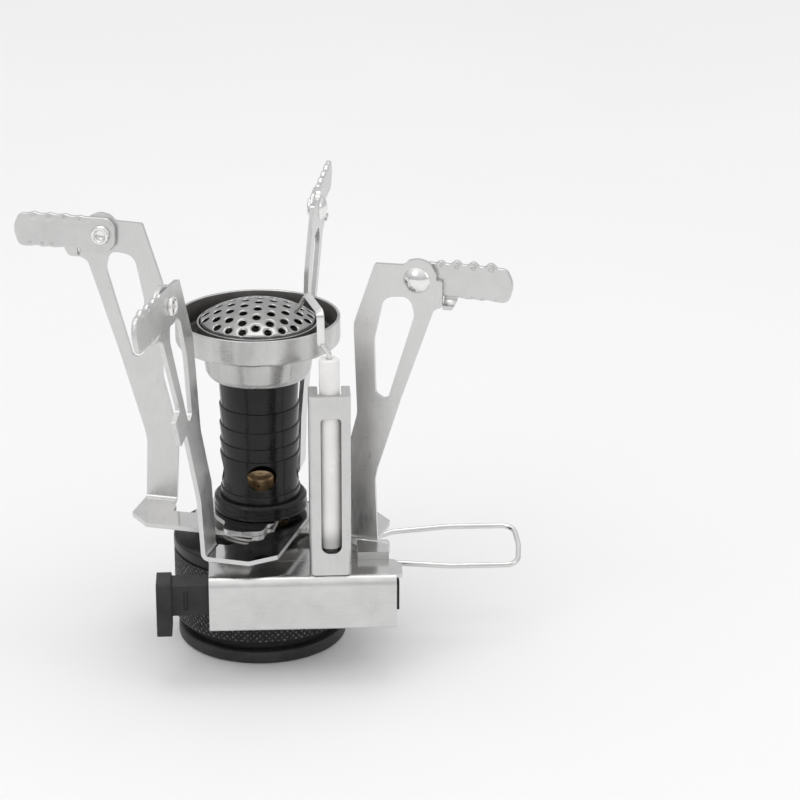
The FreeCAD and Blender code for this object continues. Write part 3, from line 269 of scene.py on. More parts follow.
# ------------------------------------------------------------------ mesh helpers (millimetres in, metres out)
def corner_arcs(pts, n=5):
    """Closed loop of (a, b, radius) corners with each corner turned into a tangent arc."""
    out = []
    k = len(pts)
    for i in range(k):
        b = np.array(pts[i][:2], float)
        a = np.array(pts[i - 1][:2], float)
        c = np.array(pts[(i + 1) % k][:2], float)
        r = pts[i][2] if len(pts[i]) > 2 else 0.0
        u, w = a - b, c - b
        lu, lw = np.linalg.norm(u), np.linalg.norm(w)
        u, w = u / lu, w / lw
        ang = math.acos(max(-1.0, min(1.0, float(u @ w))))
        if r <= 0 or ang > math.radians(177):
            out.append(tuple(b))
            continue
        cut = min(r / math.tan(ang / 2), 0.48 * lu, 0.48 * lw)
        r = cut * math.tan(ang / 2)
        p, q = b + u * cut, b + w * cut
        m = (u + w) / np.linalg.norm(u + w)
        o = b + m * (r / math.sin(ang / 2))
        a0 = math.atan2(*(p - o)[::-1])
        a1 = math.atan2(*(q - o)[::-1])
        d = (a1 - a0 + math.pi) % (2 * math.pi) - math.pi
        for j in range(n + 1):
            t = a0 + d * j / n
            out.append((o[0] + r * math.cos(t), o[1] + r * math.sin(t)))
    return out


def piece(name, verts, faces, node, mats, index=None, sharp=38.0, body=None, join=True):
    mesh = bpy.data.meshes.new(name)
    mesh.from_pydata([tuple(v) for v in verts], [], faces)
    for m in mats:
        mesh.materials.append(m.m)
    if index is not None:
        mesh.polygons.foreach_set("material_index", index)
    bm = bmesh.new()
    bm.from_mesh(mesh)
    if join:
        bmesh.ops.remove_doubles(bm, verts=bm.verts, dist=1e-7)
    bmesh.ops.recalc_face_normals(bm, faces=bm.faces)
    bm.to_mesh(mesh)
    bm.free()
    smooth(mesh, sharp)
    o = bpy.data.objects.new(name, mesh)
    bpy.context.scene.collection.objects.link(o)
    if node:
        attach(o, body or BODY[node])
        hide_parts(node)
    return o


def smooth(mesh, angle):
    mesh.polygons.foreach_set("use_smooth", [True] * len(mesh.polygons))
    mesh.set_sharp_from_angle(angle=math.radians(angle))


def lathe(name, profile, node, mats, seg=192, index=None, shift=None, sharp=38.0):
    """Closed (radius, height) profile turned about Z. shift(r, z, angle) may move a point in radius or height."""
    pr = np.array(profile, float)
    n = len(pr)
    ang = np.arange(seg) * 2 * math.pi / seg
    R = np.repeat(pr[None, :, 0], seg, 0)
    Z = np.repeat(pr[None, :, 1], seg, 0)
    A = np.repeat(ang[:, None], n, 1)
    if shift is not None:
        R, Z = shift(R, Z, A)
    verts = np.stack([R * np.cos(A), R * np.sin(A), Z], -1).reshape(-1, 3) * MM
    faces, idx = [], []
    for k in range(seg):
        k2 = (k + 1) % seg
        for i in range(n):
            j = (i + 1) % n
            faces.append((k * n + i, k2 * n + i, k2 * n + j, k * n + j))
            if index is not None:
                idx.append(index(0.5 * (pr[i] + pr[j])))
    return piece(name, verts, faces, node, mats, idx if index is not None else None, sharp)


def baked(o):
    """Applies the modifiers of a piece to its mesh."""
    dg = bpy.context.evaluated_depsgraph_get()
    new = bpy.data.meshes.new_from_object(o.evaluated_get(dg))
    o.modifiers.clear()
    o.data = new


def bored(o, tools, sharp=38.0):
    """Cuts the tools, each (x, y, z, axis, radius, length), out of a piece."""
    made = []
    for x, y, z, axis, r, length in tools:
        bm = bmesh.new()
        bmesh.ops.create_cone(bm, cap_ends=True, segments=64, radius1=r * MM, radius2=r * MM, depth=length * MM)
        me = bpy.data.meshes.new("bore")
        bm.to_mesh(me)
        bm.free()
        c = bpy.data.objects.new("bore", me)
        bpy.context.scene.collection.objects.link(c)
        c.matrix_world = Matrix.Translation(Vector((x, y, z)) * MM) @ Vector((0, 0, 1)).rotation_difference(Vector(axis)).to_matrix().to_4x4()
        m = o.modifiers.new("cut", "BOOLEAN")
        m.operation = "DIFFERENCE"
        m.solver = "EXACT"
        m.object = c
        made.append(c)
    bpy.context.view_layer.update()
    baked(o)
    for c in made:
        bpy.data.objects.remove(c)
    smooth(o.data, sharp)


# ------------------------------------------------------------------ camera, as the photograph was taken
cam_data = bpy.data.cameras.new("photo_camera")
cam = bpy.data.objects.new("photo_camera", cam_data)
bpy.context.scene.collection.objects.link(cam)
right = Vector((0.99860308, -0.05280469, 0.00188725))
up = Vector((0.01684188, 0.3519492, 0.93586757))
ahead = Vector((0.05008242, 0.93452845, -0.35234688))
cam.matrix_world = Matrix(((right.x, up.x, -ahead.x, 0.0), (right.y, up.y, -ahead.y, -0.51554865),
                           (right.z, up.z, -ahead.z, 0.24304675), (0, 0, 0, 1)))
cam_data.sensor_width = 36.0
cam_data.lens = 126.416
cam_data.clip_start, cam_data.clip_end = 0.01, 20.0
bpy.context.scene.camera = cam


# ------------------------------------------------------------------ collar with diamond knurl and canister thread
KN_LOW, KN_TOP, ROUND, KN_N = 4.6, 19.0, 17.4, 90
pitch = 2 * math.pi * ROUND / KN_N
thread_pitch = 0.907
outer_rows = [(ROUND, z) for z in np.arange(KN_LOW, KN_TOP + 1e-6, pitch / 6)][1:-1]
thread_rows = [(5.15, z) for z in np.arange(9.95, 4.0, -thread_pitch / 8)]
collar_profile = ([(5.15, 4.0), (5.9, 4.0), (9.0, 4.0), (13.3, 4.0), (13.5, 3.8), (13.5, 2.75), (13.65, 2.6), (15.3, 2.6), (15.45, 2.75), (15.5, 3.9),
                   (16.9, 4.55)] + outer_rows +
                  [(17.3, 19.02), (17.05, 19.12), (17.05, 19.43), (17.28, 19.50), (17.4, 19.62), (17.4, 21.1)] +
                  [(16.8 + 0.6 * math.cos(t), 21.1 + 0.6 * math.sin(t)) for t in np.linspace(0.2, math.pi / 2, 6)] +
                  [(15.6, 21.7), (12.0, 21.7), (8.0, 21.7), (6.1, 21.7), (6.0, 21.6), (6.0, 13.0), (5.6, 13.0), (5.6, 10.0)] + thread_rows)


def knurl(R, Z, A):
    R = R.copy()
    side = (np.abs(R - ROUND) < 1e-6) & (Z > KN_LOW) & (Z < KN_TOP)
    u = A * KN_N / (2 * math.pi)
    v = (Z - KN_LOW) / pitch
    a, b = u + v, u - v
    h = 2 * np.minimum(np.abs(a - np.round(a)), np.abs(b - np.round(b)))
    fade = np.clip(np.minimum(Z - KN_LOW, KN_TOP - Z) / 0.35, 0, 1)
    R[side] = (ROUND - 0.30 * (1 - np.minimum(1.0, 1.2 * h)) - 0.25 * (1 - fade))[side]
    bore = (np.abs(R - 5.15) < 1e-6) & (Z < 9.99)
    w = Z / thread_pitch - A / (2 * math.pi)
    tri = 2 * np.abs(w - np.round(w))
    R[bore] = (5.15 + 0.38 * np.clip(1.2 * tri - 0.1, 0, 1))[bore]
    return R, Z


collar = lathe("collar_knurled", collar_profile, "collar", [M["knurl"]], seg=540, shift=knurl, sharp=30.0)
bored(collar, [(14.0, 0.0, 17.2, (1, 0, 0), 4.0, 22.0)], 30.0)

lathe("seat_lip_ring", corner_arcs([(13.5, 0, 0.2), (16.8, 0, 0.7), (16.8, 2.6, 0.45), (13.5, 2.6, 0.1)], 7), "seat_lip", [M["lip"]], seg=192)

# ------------------------------------------------------------------ mixing tube, its nut, the jet
TR, TI = 7.85, 6.9
prof = [(TI, 27.95, 0.1), (TR, 27.95, 0.12)]
for z in (31.6, 38.9, 41.6, 45.0, 48.9):
    prof += [(TR, z - 0.05, 0.07), (TR - 0.28, z, 0.04), (TR - 0.28, z + 0.25, 0.1)]
prof += [(TR, 54.3, 0.1), (TI, 54.3, 0.1)]
tube = lathe("mixing_tube_turned", corner_arcs(prof, 4), "mixing_tube", [M["tube"]], seg=192)
bored(tube, [(0.3, 0, 35.5, (0, 1, 0), 2.9, 40.0), (0, 0, 35.5, (1, 0, 0), 2.9, 40.0)])

NR = 9.15
lathe("tube_nut_turned", corner_arcs([
    (5.55, 26.97, 0.05), (NR, 26.97, 0.25), (NR, 28.15, 0.08), (NR - 0.14, 28.25, 0.04), (NR - 0.14, 28.45, 0.04), (NR, 28.55, 0.08),
    (NR, 29.5, 0.2), (NR - 0.5, 30.0, 0.2), (TR + 0.05, 30.0, 0.05), (TR + 0.05, 27.93, 0.02), (5.55, 27.93, 0.05)], 4),
    "tube_nut", [M["nut"]], seg=160)

jet = lathe("jet_turned", corner_arcs([
    (0.25, 24.6), (2.0, 24.6, 0.1), (2.0, 27.92, 0.02), (2.6, 27.92, 0.08), (2.6, 33.2, 0.35), (1.3, 33.6, 0.15), (0.25, 33.6)], 4),
    "jet", [M["brass"]], seg=96)
bored(jet, [(-0.45, -2.6, 31.9, (0, 1, 0), 0.28, 3.0)])

# ------------------------------------------------------------------ burner cup and bowl
RR, RL, RT = 16.0, 61.5, 66.8
bowl_prof = corner_arcs([(6.95, 54.42, 0.0), (8.9, 54.6, 0.8), (9.75, 55.0, 0.9), (10.3, 56.0, 1.2), (10.65, 58.8, 3.0), (10.7, 61.0, 0.12), (10.1, 61.12, 0.08), (10.1, 61.48, 0.04),
                         (9.7, 61.48, 0.05), (9.6, 56.6, 0.8), (9.35, 55.7, 0.7), (8.7, 55.15, 0.5), (6.95, 55.0, 0.0)], 6)
lathe("burner_bowl_spun", bowl_prof, "burner_bowl", [M["bowl"]], seg=192)


def dents(R, Z, A):
    """A few shallow rolling dents along the lower outer corner of the cup."""
    R, Z = R.copy(), Z.copy()
    low = np.clip((RL + 1.3 - Z) / 1.3, 0, 1) * (R > 11)
    for a, w, dz in ((-1.95, 0.16, 0.10), (-1.50, 0.10, 0.14), (-1.12, 0.12, 0.08), (0.6, 0.15, 0.08), (2.2, 0.12, 0.1), (3.0, 0.15, 0.07)):
        g = np.exp(-((((A - a + math.pi) % (2 * math.pi)) - math.pi) / w) ** 2)
        Z += low * g * dz
    return R, Z


ring_prof = corner_arcs([(8.6, RL, 0.0), (14.0, RL, 0.0), (RR, RL, 1.25), (RR, 64.2, 0.0), (RR, RT, 0.22), (RR - 0.6, RT, 0.22), (RR - 0.6, 64.5, 0.0), (RR - 0.6, RL + 0.7, 0.7),
                         (13.5, RL + 0.7, 0.0), (8.6, RL + 0.7, 0.0)], 8)
lathe("burner_cup", ring_prof, "burner_ring", [M["ring"], M["inside"]], seg=240, shift=dents,
      index=lambda p: 1 if (p[1] > RL + 0.35 and p[0] < RR - 0.32 and p[1] < RT - 0.2) else 0)
lathe("dome_rim_ring", corner_arcs([(11.4, RL + 0.72, 0.0), (11.85, RL + 0.72, 0.0), (11.85, 65.75, 0.14), (11.4, 65.75, 0.14)], 6), "dome_rim",
      [M["rim"], M["inside"]], seg=192, index=lambda p: 1 if p[1] < 64.9 else 0)

# ------------------------------------------------------------------ perforated dome
HALF, BALL, APEX, FOOT, HR = 11.2, 20.6, 69.56, 63.6, 0.76
ZC = APEX - BALL
twist, step = math.radians(-94.6), 3.12
centres = [(0.275, -0.19)]
for i in range(-5, 6):
    for j in range(-5, 6):
        px = step * (i * math.cos(twist) + j * math.cos(twist + math.pi / 3))
        py = step * (i * math.sin(twist) + j * math.sin(twist + math.pi / 3))
        along = math.hypot(px, py)
        if along < 0.1:
            continue
        s = BALL * math.sin(along / BALL) / along
        x, y = px * s + 0.275, py * s - 0.19
        out = math.hypot(x, y)
        if out <= 11.05:
            pull = min(out, 10.28) / out
            centres.append((x * pull, y * pull))
C = np.array(centres)
CR = np.where(np.hypot(C[:, 0], C[:, 1]) > 10.05, 0.70, HR)
pts, edges = [], []
for (x, y), hole in zip(centres, CR):
    for q, rr in enumerate((hole, hole + 0.05, hole + 0.12, hole + 0.21, hole + 0.32, hole + 0.45)):
        at = len(pts)
        for k in range(26):
            t = 2 * math.pi * (k + 0.5 * (q % 2)) / 26
            p = (x + rr * math.cos(t), y + rr * math.sin(t))
            if q == 0 or (math.hypot(*p) < HALF - 0.06 and np.min(np.hypot(C[:, 0] - p[0], C[:, 1] - p[1]) - CR) > rr - hole - 0.02):
                pts.append(p)
        if q == 0:
            edges += [(at + k, at + (k + 1) % 26) for k in range(26)]
for r in np.arange(0.0, HALF - 0.28, 0.36):
    count = max(1, int(2 * math.pi * r / 0.36))
    for k in range(count):
        t = 2 * math.pi * (k + 0.37 * r) / count
        p = np.array((r * math.cos(t), r * math.sin(t)))
        if np.min(np.hypot(*(C - p).T) - CR) > 0.58:
            pts.append(tuple(p))
for r in (HALF - 0.24, HALF - 0.12, HALF - 0.04, HALF):
    at = len(pts)
    for k in range(200):
        p = (r * math.cos(2 * math.pi * k / 200), r * math.sin(2 * math.pi * k / 200))
        if r == HALF or np.min(np.hypot(C[:, 0] - p[0], C[:, 1] - p[1]) - CR) > 0.04:
            pts.append(p)
    if r == HALF:
        edges += [(at + k, at + (k + 1) % 200) for k in range(200)]
flat, _, tris, *_ = delaunay_2d_cdt([Vector(p) for p in pts], edges, [], 0, 1e-5)
P = np.array([tuple(p) for p in flat])
rr = np.hypot(P[:, 0], P[:, 1])
z = ZC + np.sqrt(BALL ** 2 - np.minimum(rr, HALF) ** 2)
near = np.min(np.hypot(P[:, None, 0] - C[None, :, 0], P[:, None, 1] - C[None, :, 1]) - CR[None, :], 1)
t = np.clip(near / 0.34, 0, 1)
z = z - 0.20 * (1 - t) ** 2
e = np.clip((rr - (HALF - 0.24)) / 0.24, 0, 1)
z = z - 0.30 * (1 - np.sqrt(np.maximum(0, 1 - e ** 2)))
top = np.column_stack([P, z]) * MM
faces = []
for f in tris:
    c = P[list(f)].mean(0)
    if np.hypot(*c) < HALF and np.min(np.hypot(*(C - c).T) - CR * 0.985) > 0:
        faces.append(tuple(f))
verts = [tuple(v) for v in top]
rim_ids = [int(np.argmin(np.hypot(P[:, 0] - HALF * math.cos(2 * math.pi * k / 200), P[:, 1] - HALF * math.sin(2 * math.pi * k / 200)))) for k in range(200)]
prev = rim_ids
for zz in (65.2, 64.4, FOOT):
    at = len(verts)
    for k in range(200):
        t_ = 2 * math.pi * k / 200
        verts.append((HALF * math.cos(t_) * MM, HALF * math.sin(t_) * MM, zz * MM))
    cur = list(range(at, at + 200))
    for k in range(200):
        faces.append((prev[k], prev[(k + 1) % 200], cur[(k + 1) % 200], cur[k]))
    prev = cur
used = sorted({i for f in faces for i in f})
back = {v: k for k, v in enumerate(used)}
dome = piece("flame_dome_punched", [verts[i] for i in used], [tuple(back[i] for i in f) for f in faces], "flame_dome", [M["dome"]], sharp=60.0)
# the open shell has its outside up
if sum(p.normal.z * p.area for p in dome.data.polygons) < 0:
    dome.data.flip_normals()
m = dome.modifiers.new("sheet", "SOLIDIFY")
m.thickness = 0.45 * MM
m.offset = -1.0
m.use_even_offset = False
bpy.context.view_layer.update()
baked(dome)
smooth(dome.data, 50.0)


# ------------------------------------------------------------------ ribbon electrode
def bent_path(pts, radii, n=6):
    out = [Vector(pts[0])]
    for i in range(1, len(pts) - 1):
        a, b, c = (Vector(p) for p in pts[i - 1:i + 2])
        u, w = (a - b), (c - b)
        lu, lw = u.length, w.length
        u.normalize()
        w.normalize()
        ang = u.angle(w)
        cut = min(radii[i - 1] / math.tan(ang / 2), 0.45 * lu, 0.45 * lw)
        r = cut * math.tan(ang / 2)
        o = b + (u + w).normalized() * (r / math.sin(ang / 2))
        p, q = b + u * cut - o, b + w * cut - o
        turn = p.angle(q)
        ax = p.cross(q).normalized()
        out += [o + Matrix.Rotation(turn * k / n, 3, ax) @ p for k in range(n + 1)]
    out.append(Vector(pts[-1]))
    return out


def swept(name, path, section, node, mat, first, sharp=40.0):
    """Closed 2-D section carried along a path without twisting, with closed ends."""
    d0 = (path[1] - path[0]).normalized()
    u = Vector(first)
    u = (u - d0 * u.dot(d0)).normalized()
    rows, last = [], d0
    for i, p in enumerate(path):
        a = path[max(0, i - 1)]
        b = path[min(len(path) - 1, i + 1)]
        dv = (b - a).normalized()
        u = last.rotation_difference(dv) @ u
        u = (u - dv * u.dot(dv)).normalized()
        w = dv.cross(u)
        last = dv
        rows.append([(p + u * s[0] + w * s[1]) * MM for s in section])
    n = len(section)
    verts = [tuple(v) for row in rows for v in row]
    faces = [(i * n + k, i * n + (k + 1) % n, (i + 1) * n + (k + 1) % n, (i + 1) * n + k) for i in range(len(rows) - 1) for k in range(n)]
    faces += [tuple(range(n))[::-1], tuple(range((len(rows) - 1) * n, len(rows) * n))]
    return piece(name, verts, faces, node, [mat], sharp=sharp)


path = bent_path([(13.2, -22.0, 19.6), (13.2, -22.0, 66.4), (11.7, -22.0, 68.6), (11.6, -22.0, 74.6), (9.3, -12.6, 75.0), (7.5, -7.3, 70.0)],
                 [1.2, 1.0, 1.3, 1.6])
strip = corner_arcs([(-0.72, -0.24, 0.09), (0.72, -0.24, 0.09), (0.72, 0.24, 0.09), (-0.72, 0.24, 0.09)], 3)
swept("electrode_strip", path[8:], strip, "electrode", M["strip"], (0.97, -0.24, 0.0))
core = swept("electrode_pin", path[:10], [(0.5 * math.cos(a), 0.5 * math.sin(a)) for a in np.linspace(0, 2 * math.pi, 14, endpoint=False)], None, M["wire"], (1, 0, 0))
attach(core, BODY["electrode"])

# ------------------------------------------------------------------ ceramic rod with a rounded shoulder
rod = lathe("ceramic_rod_glazed", corner_arcs([(0.6, -46.9 / 2, 0.05), (1.95, -46.9 / 2, 0.3), (1.95, -17.7, 0.2), (2.3, -17.3, 0.2), (2.3, 15.2, 0.3), (1.95, 15.6, 0.2),
                                               (1.95, 46.9 / 2, 0.45), (0.6, 46.9 / 2, 0.1)], 6), None, [M["ceramic"]], seg=96)
rod.data.transform(Matrix.Translation(Vector((13.2, -22.0, 42.05)) * MM))
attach(rod, BODY["ceramic_rod"])
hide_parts("ceramic_rod")

# ------------------------------------------------------------------ folding tips and rivets, one set on each arm
ARMS = {"left": (162.6, 0.05, 0.0, 3.6), "right": (-18.0, 0.05, 0.0, 3.6), "back": (78.4, 0.042, 8.0, 3.95), "front": (-108.3, 0.066, 0.0, 3.45)}
TL, TH, TS, GAP, SHEET = 18.1, 3.3, 1.0, 0.06, 0.9


def local_frame(side, turned_up):
    az, lean, raised, off = ARMS[side]
    eps = math.atan(lean)
    k = math.sqrt(1 + lean * lean)
    s0 = (78.8 - 26.0) * k
    o = (-off - lean / k * s0, 78.8)
    step_out = SHEET / 2 + GAP
    base = Vector((33.5, o[0] + step_out * math.cos(eps), o[1] + step_out * math.sin(eps))) * MM
    mat = Matrix.Rotation(math.radians(az), 4, "Z") @ Matrix.Translation(base) @ Matrix.Rotation(eps, 4, "X")
    if turned_up:
        mat = mat @ Matrix.Rotation(math.radians(-raised), 4, "Y")
    return mat


UPPER = [(-3.0, 1.8, 1.6), (-1.4, TH + 0.15, 1.6), (2.6, TH + 0.1, 1.2), (3.5, TH + 0.1, 0.5), (4.4, TH + 0.8, 0.7), (5.3, TH + 0.1, 0.5), (6.3, TH + 0.1, 0.5), (7.4, TH + 1.15, 0.85),
         (8.5, TH + 0.15, 0.5), (9.5, TH + 0.15, 0.5), (10.65, TH + 1.1, 0.85), (11.8, TH + 0.05, 0.5), (12.8, TH + 0.05, 0.5), (14.0, TH + 1.15, 0.9), (15.2, TH, 0.6), (17.1, TH - 0.1, 1.5)]
LOWER = [(17.3, -TH - 0.2, 1.6), (14.8, -TH - 0.1, 1.2), (13.4, -TH + 0.15, 0.9), (12.2, -TH - 0.1, 1.0), (10.8, -TH + 0.1, 0.9), (9.6, -TH - 0.05, 1.0),
         (7.5, -TH + 0.25, 0.6), (4.9, -TH + 0.25, 0.6), (2.6, -TH - 0.2, 1.5), (-1.4, -TH - 0.15, 1.6), (-3.0, -1.8, 1.6)]
CRESTS = [(4.45, TH - 0.05, 0.55), (7.45, TH + 0.02, 0.8), (10.7, TH + 0.0, 0.8), (14.05, TH + 0.0, 0.85),
          (10.2, -TH + 0.45, 0.5), (12.3, -TH + 0.45, 0.5), (14.9, -TH + 0.45, 0.5)]


def spaced(loop, gap):
    loop = np.array(loop + [loop[0]])
    seg = np.hypot(*np.diff(loop, axis=0).T)
    s = np.concatenate([[0], np.cumsum(seg)])
    n = int(s[-1] / gap)
    at = np.linspace(0, s[-1], n, endpoint=False)
    return np.column_stack([np.interp(at, s, loop[:, 0]), np.interp(at, s, loop[:, 1])])


def tip_mesh(rise, sunk=False):
    """Pressed bar with coined ridges: returns points, faces in the tip's own frame, in millimetres."""
    upper = [(x, y if y < TH + 0.3 else TH + 0.1 + (y - TH - 0.1) * rise, r) for x, y, r in UPPER]
    if sunk:
        upper = [(x, TH + 0.06 + (y - TH - 1.15) * 0.62 if 3.0 < x < 16.0 else y, r) for x, y, r in UPPER]
    outline = spaced(corner_arcs(upper + [(TL + 0.35, 0.2, 4.0)] + LOWER, 8), 0.16)
    nxt = np.roll(outline, -1, 0) - np.roll(outline, 1, 0)
    nxt /= np.linalg.norm(nxt, axis=1)[:, None]
    inward = np.column_stack([nxt[:, 1], -nxt[:, 0]])
    area = np.sum(outline[:, 0] * np.roll(outline[:, 1], -1) - np.roll(outline[:, 0], -1) * outline[:, 1])
    if area > 0:
        inward = -inward
    eye, eye_r = np.array((0.0, 0.0)), 1.62
    pts = [tuple(p) for p in outline]
    n = len(outline)
    edges = [(k, (k + 1) % n) for k in range(n)]
    for dist in (0.06, 0.14, 0.24, 0.38):
        pts += [tuple(p) for p in outline + inward * dist]
    at = len(pts)
    for q in (0.0, 0.08, 0.2):
        for k in range(48):
            t = 2 * math.pi * k / 48
            pts.append(((eye_r + q) * math.cos(t), (eye_r + q) * math.sin(t)))
    edges += [(at + k, at + (k + 1) % 48) for k in range(48)]
    for x in np.arange(-3.4, TL + 0.5, 0.24):
        for y in np.arange(-TH - 0.4, TH + 0.4, 0.24):
            d = np.min(np.hypot(outline[:, 0] - x, outline[:, 1] - y))
            if d > 0.48 and math.hypot(x, y) > eye_r + 0.32:
                pts.append((x, y))
    flat, _, tris, *_ = delaunay_2d_cdt([Vector(p) for p in pts], edges, [], 1, 1e-5)
    P = np.array([tuple(p) for p in flat])
    d = np.min(np.hypot(P[:, None, 0] - outline[None, :, 0], P[:, None, 1] - outline[None, :, 1]), 1)
    de = np.abs(np.hypot(P[:, 0], P[:, 1]) - eye_r)
    d = np.minimum(d, de * 2)
    e = np.clip(1 - d / 0.24, 0, 1)
    soft_edge = 0.24 * (1 - np.sqrt(np.maximum(0, 1 - e ** 2)))
    coin = np.zeros(len(P))
    for x, y, r in CRESTS:
        if y > 0:
            y -= 0.9 * (1 - rise)
            r *= 0.6 + 0.4 * rise
        q = np.clip(1 - np.hypot((P[:, 0] - x), (P[:, 1] - y)) / r, 0, 1)
        coin = np.maximum(coin, 0.42 * r * q * q * (3 - 2 * q))
    front = TS - soft_edge + coin * 0.9
    rear = soft_edge + coin
    m = len(P)
    verts = np.concatenate([np.column_stack([P[:, 0], front, P[:, 1]]), np.column_stack([P[:, 0], rear, P[:, 1]])])
    faces = []
    count = {}
    for f in tris:
        c = P[list(f)].mean(0)
        if np.hypot(*c) < eye_r * 0.98:
            continue
        faces.append(tuple(f))
        faces.append(tuple(i + m for i in f[::-1]))
        for k in range(3):
            a, b = f[k], f[(k + 1) % 3]
            count[(a, b)] = 1
    for a, b in list(count):
        if (b, a) not in count:
            faces.append((b, a, a + m, b + m))
    used = sorted({i for f in faces for i in f})
    back = {i: k for k, i in enumerate(used)}
    return verts[used], [tuple(back[i] for i in f) for f in faces]


def lug_mesh():
    """Stop lug: sheet curled from the lower edge back under the arm's shoulder."""
    zb = -TH + 0.25
    outer = [(TS - 0.04, zb + 0.7), (TS - 0.02, zb + 0.2)] + [(TS - 2.25 + 2.22 * math.cos(a), zb - 0.02 + 2.22 * math.sin(a)) for a in np.linspace(0, -math.pi / 2, 12)]
    inner = [(TS - 2.25 + 1.42 * math.cos(a), zb - 0.02 + 1.42 * math.sin(a)) for a in np.linspace(-math.pi / 2, 0, 12)] + [(TS - 0.8, zb + 0.2), (TS - 0.8, zb + 0.7)]
    ring = outer + inner
    n = len(ring)
    rows = [(5.02, 0.10), (5.12, 0.0), (6.3, 0.0), (7.5, 0.0), (7.62, 0.10)]
    mid = np.mean(ring, 0)
    verts, faces = [], []
    for x, shrink in rows:
        for k, (y, z) in enumerate(ring):
            other = ring[n - 1 - k]
            c = (0.5 * (y + other[0]), 0.5 * (z + other[1]))
            w = 1 - shrink * 1.4
            down = max(0.0, min(1.0, (zb - z) / 2.25))
            verts.append((5.02 + (x - 5.02) * (1 - 0.30 * down ** 1.5), c[0] + (y - c[0]) * w, c[1] + (z - c[1]) * w))
    for i in range(len(rows) - 1):
        for k in range(n):
            faces.append((i * n + k, i * n + (k + 1) % n, (i + 1) * n + (k + 1) % n, (i + 1) * n + k))
    faces += [tuple(range(n)), tuple(range((len(rows) - 1) * n, len(rows) * n))[::-1]]
    return np.array(verts), faces


lug_v, lug_f = lug_mesh()
hr, hd, rad_s, tail = 2.55, 1.3, 1.56, 1.95
y0 = -GAP - SHEET - 0.02
y1 = TS + 0.03
ball = (hr * hr + hd * hd) / (2 * hd)
yc = y0 - hd + ball
cap = math.asin(hr / ball)
rivet_prof = ([(ball * math.sin(cap * k / 14), yc - ball * math.cos(cap * k / 14)) for k in range(15)] +
              [(hr - 0.04, y0), (rad_s, y0), (rad_s, y1), (tail, y1), (tail, y1 + 0.3)] +
              [(tail - 0.475 + 0.475 * math.cos(a), y1 + 0.3 + 0.42 * math.sin(a)) for a in np.linspace(0.15, math.pi, 12)] +
              [(tail - 0.97, y1 + 0.1), (tail - 1.02, y1 - 0.3), (tail - 1.15, y1 - 0.4), (0.0, y1 - 0.4)])
for side in ARMS:
    bar_v, bar_f = tip_mesh({"left": 0.30, "front": 0.65, "right": 1.0, "back": 0.08}[side], side == "back")
    world = local_frame(side, True)
    v = [world @ Vector(tuple(np.array(p) * MM)) for p in bar_v]
    lv = [world @ Vector(tuple(np.array(p) * MM)) for p in lug_v]
    k = len(v)
    piece("tip_%s_pressed" % side, v + lv, bar_f + [tuple(i + k for i in f) for f in lug_f], "tip_" + side, [M["tip"]], sharp=48.0)
    world = local_frame(side, False)
    seg = 64
    verts, faces = [], []
    n = len(rivet_prof)
    for q in range(seg):
        a = 2 * math.pi * q / seg
        for r, y in rivet_prof:
            verts.append(world @ (Vector((r * math.cos(a), y, r * math.sin(a))) * MM))
    for q in range(seg):
        for i in range(n - 1):
            faces.append((q * n + i, ((q + 1) % seg) * n + i, ((q + 1) % seg) * n + i + 1, q * n + i + 1))
    piece("rivet_%s_set" % side, verts, faces, "rivet_" + side, [M["rivet"]], sharp=40.0)

# ------------------------------------------------------------------ finishes of the solids kept as they are
LOOK = {"arm": ["arm_left", "arm_right", "arm_back", "arm_front"], "sheet": ["igniter_housing", "mount_bracket", "wave_washer"], "guard": ["electrode_guard"],
        "wire": ["wire_handle", "piezo_spring", "needle_spindle"], "brass": ["valve_core", "depressor_pin", "gas_filter"], "tip": ["gland_nut"],
        "rubber": ["canister_seal", "spindle_seal", "ignition_lead"], "gauze": ["gauze"], "plastic": ["piezo_button", "piezo_body", "end_plug"]}
for look, names in LOOK.items():
    for n in names:
        o = NODES[n]
        o.data.materials.clear()
        o.data.materials.append(M[look].m)
        for p in o.data.polygons:
            p.material_index = 0
        w = o.modifiers.new("weld", "WELD")
        w.merge_threshold = 1e-6
        if look in ("arm", "sheet", "guard", "plastic"):
            d = o.modifiers.new("facets", "DECIMATE")
            d.decimate_type = "DISSOLVE"
            d.angle_limit = math.radians(0.6)
            b = o.modifiers.new("edge", "BEVEL")
            b.width = {"arm": 0.10, "sheet": 0.12, "guard": 0.10, "plastic": 0.14}[look] * MM
            b.segments = 2
            b.limit_method = "ANGLE"
            b.angle_limit = math.radians(50)
            b.harden_normals = False
        if look in ("arm", "sheet", "guard", "plastic"):
            o.data.polygons.foreach_set("use_smooth", [False] * len(o.data.polygons))
        else:
            smooth(o.data, 35.0)

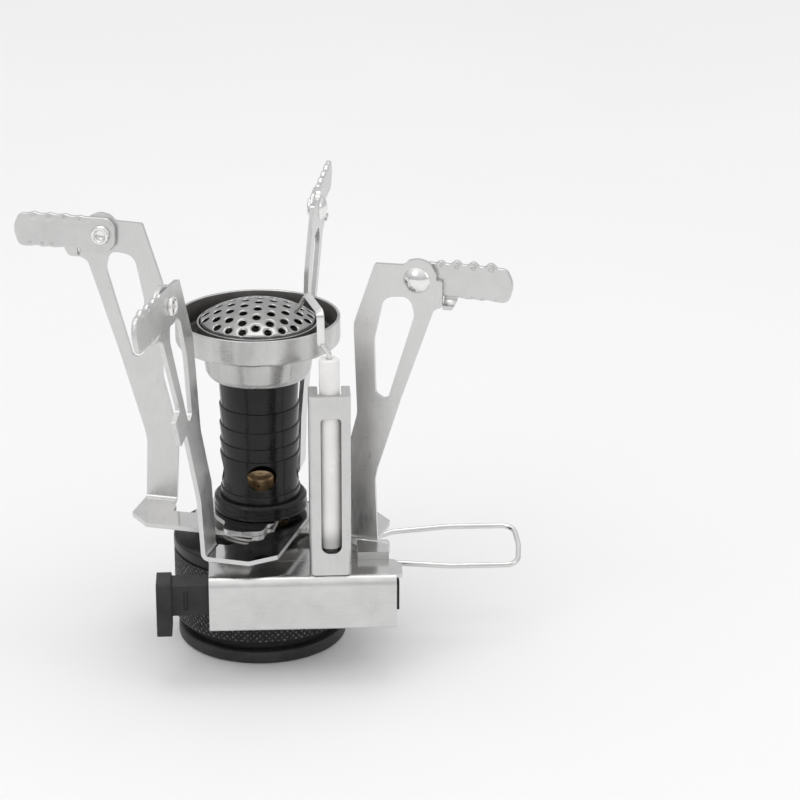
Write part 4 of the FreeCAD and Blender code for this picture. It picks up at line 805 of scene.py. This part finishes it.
# ------------------------------------------------------------------ pale floor, studio light
bm = bmesh.new()
bmesh.ops.create_grid(bm, x_segments=8, y_segments=8, size=3.0)
me = bpy.data.meshes.new("floor")
bm.to_mesh(me)
bm.free()
floor = bpy.data.objects.new("floor", me)
bpy.context.scene.collection.objects.link(floor)
fm = Mat("floor_pale", rough=0.75, Specular_IOR_Level=0.15)
fm.color(fm.mix(fm.remap(fm.noise(6.0, 3.0), 0.3, 0.7, 0.0, 1.0), (0.90, 0.90, 0.90), (0.92, 0.92, 0.92)))
me.materials.append(fm.m)
floor.location.z = -0.00002

world = bpy.data.worlds.new("studio")
bpy.context.scene.world = world
world.use_nodes = True
wt = world.node_tree
wt.nodes.clear()
wo = wt.nodes.new("ShaderNodeOutputWorld")
bg = wt.nodes.new("ShaderNodeBackground")
tc = wt.nodes.new("ShaderNodeTexCoord")
sx = wt.nodes.new("ShaderNodeSeparateXYZ")
wt.links.new(tc.outputs["Generated"], sx.inputs[0])
ramp = wt.nodes.new("ShaderNodeValToRGB")
ramp.color_ramp.elements[0].position = 0.0
ramp.color_ramp.elements[0].color = (0.50, 0.50, 0.51, 1)
ramp.color_ramp.elements[1].position = 1.0
ramp.color_ramp.elements[1].color = (1.0, 1.0, 1.0, 1)
wt.links.new(sx.outputs[2], ramp.inputs[0])
wt.links.new(ramp.outputs[0], bg.inputs["Color"])
bg.inputs["Strength"].default_value = 1.03
wt.links.new(bg.outputs[0], wo.inputs["Surface"])


def softbox(name, at, look, size, power):
    data = bpy.data.lights.new(name, "AREA")
    data.shape = "RECTANGLE"
    data.size, data.size_y = size
    data.energy = power
    o = bpy.data.objects.new(name, data)
    bpy.context.scene.collection.objects.link(o)
    o.location = at
    o.rotation_mode = "QUATERNION"
    o.rotation_quaternion = (Vector(look) - Vector(at)).to_track_quat("-Z", "Y")


softbox("key", (-0.45, -0.55, 0.75), (0, 0, 0.04), (0.5, 0.5), 1.25)
softbox("fill", (0.75, -0.35, 0.45), (0, 0, 0.04), (0.35, 0.6), 0.5)
softbox("top", (0.0, 0.10, 0.95), (0, 0, 0.04), (0.5, 0.4), 1.0)
bpy.context.scene.view_settings.view_transform = "Standard"
bpy.context.scene.view_settings.look = "None"
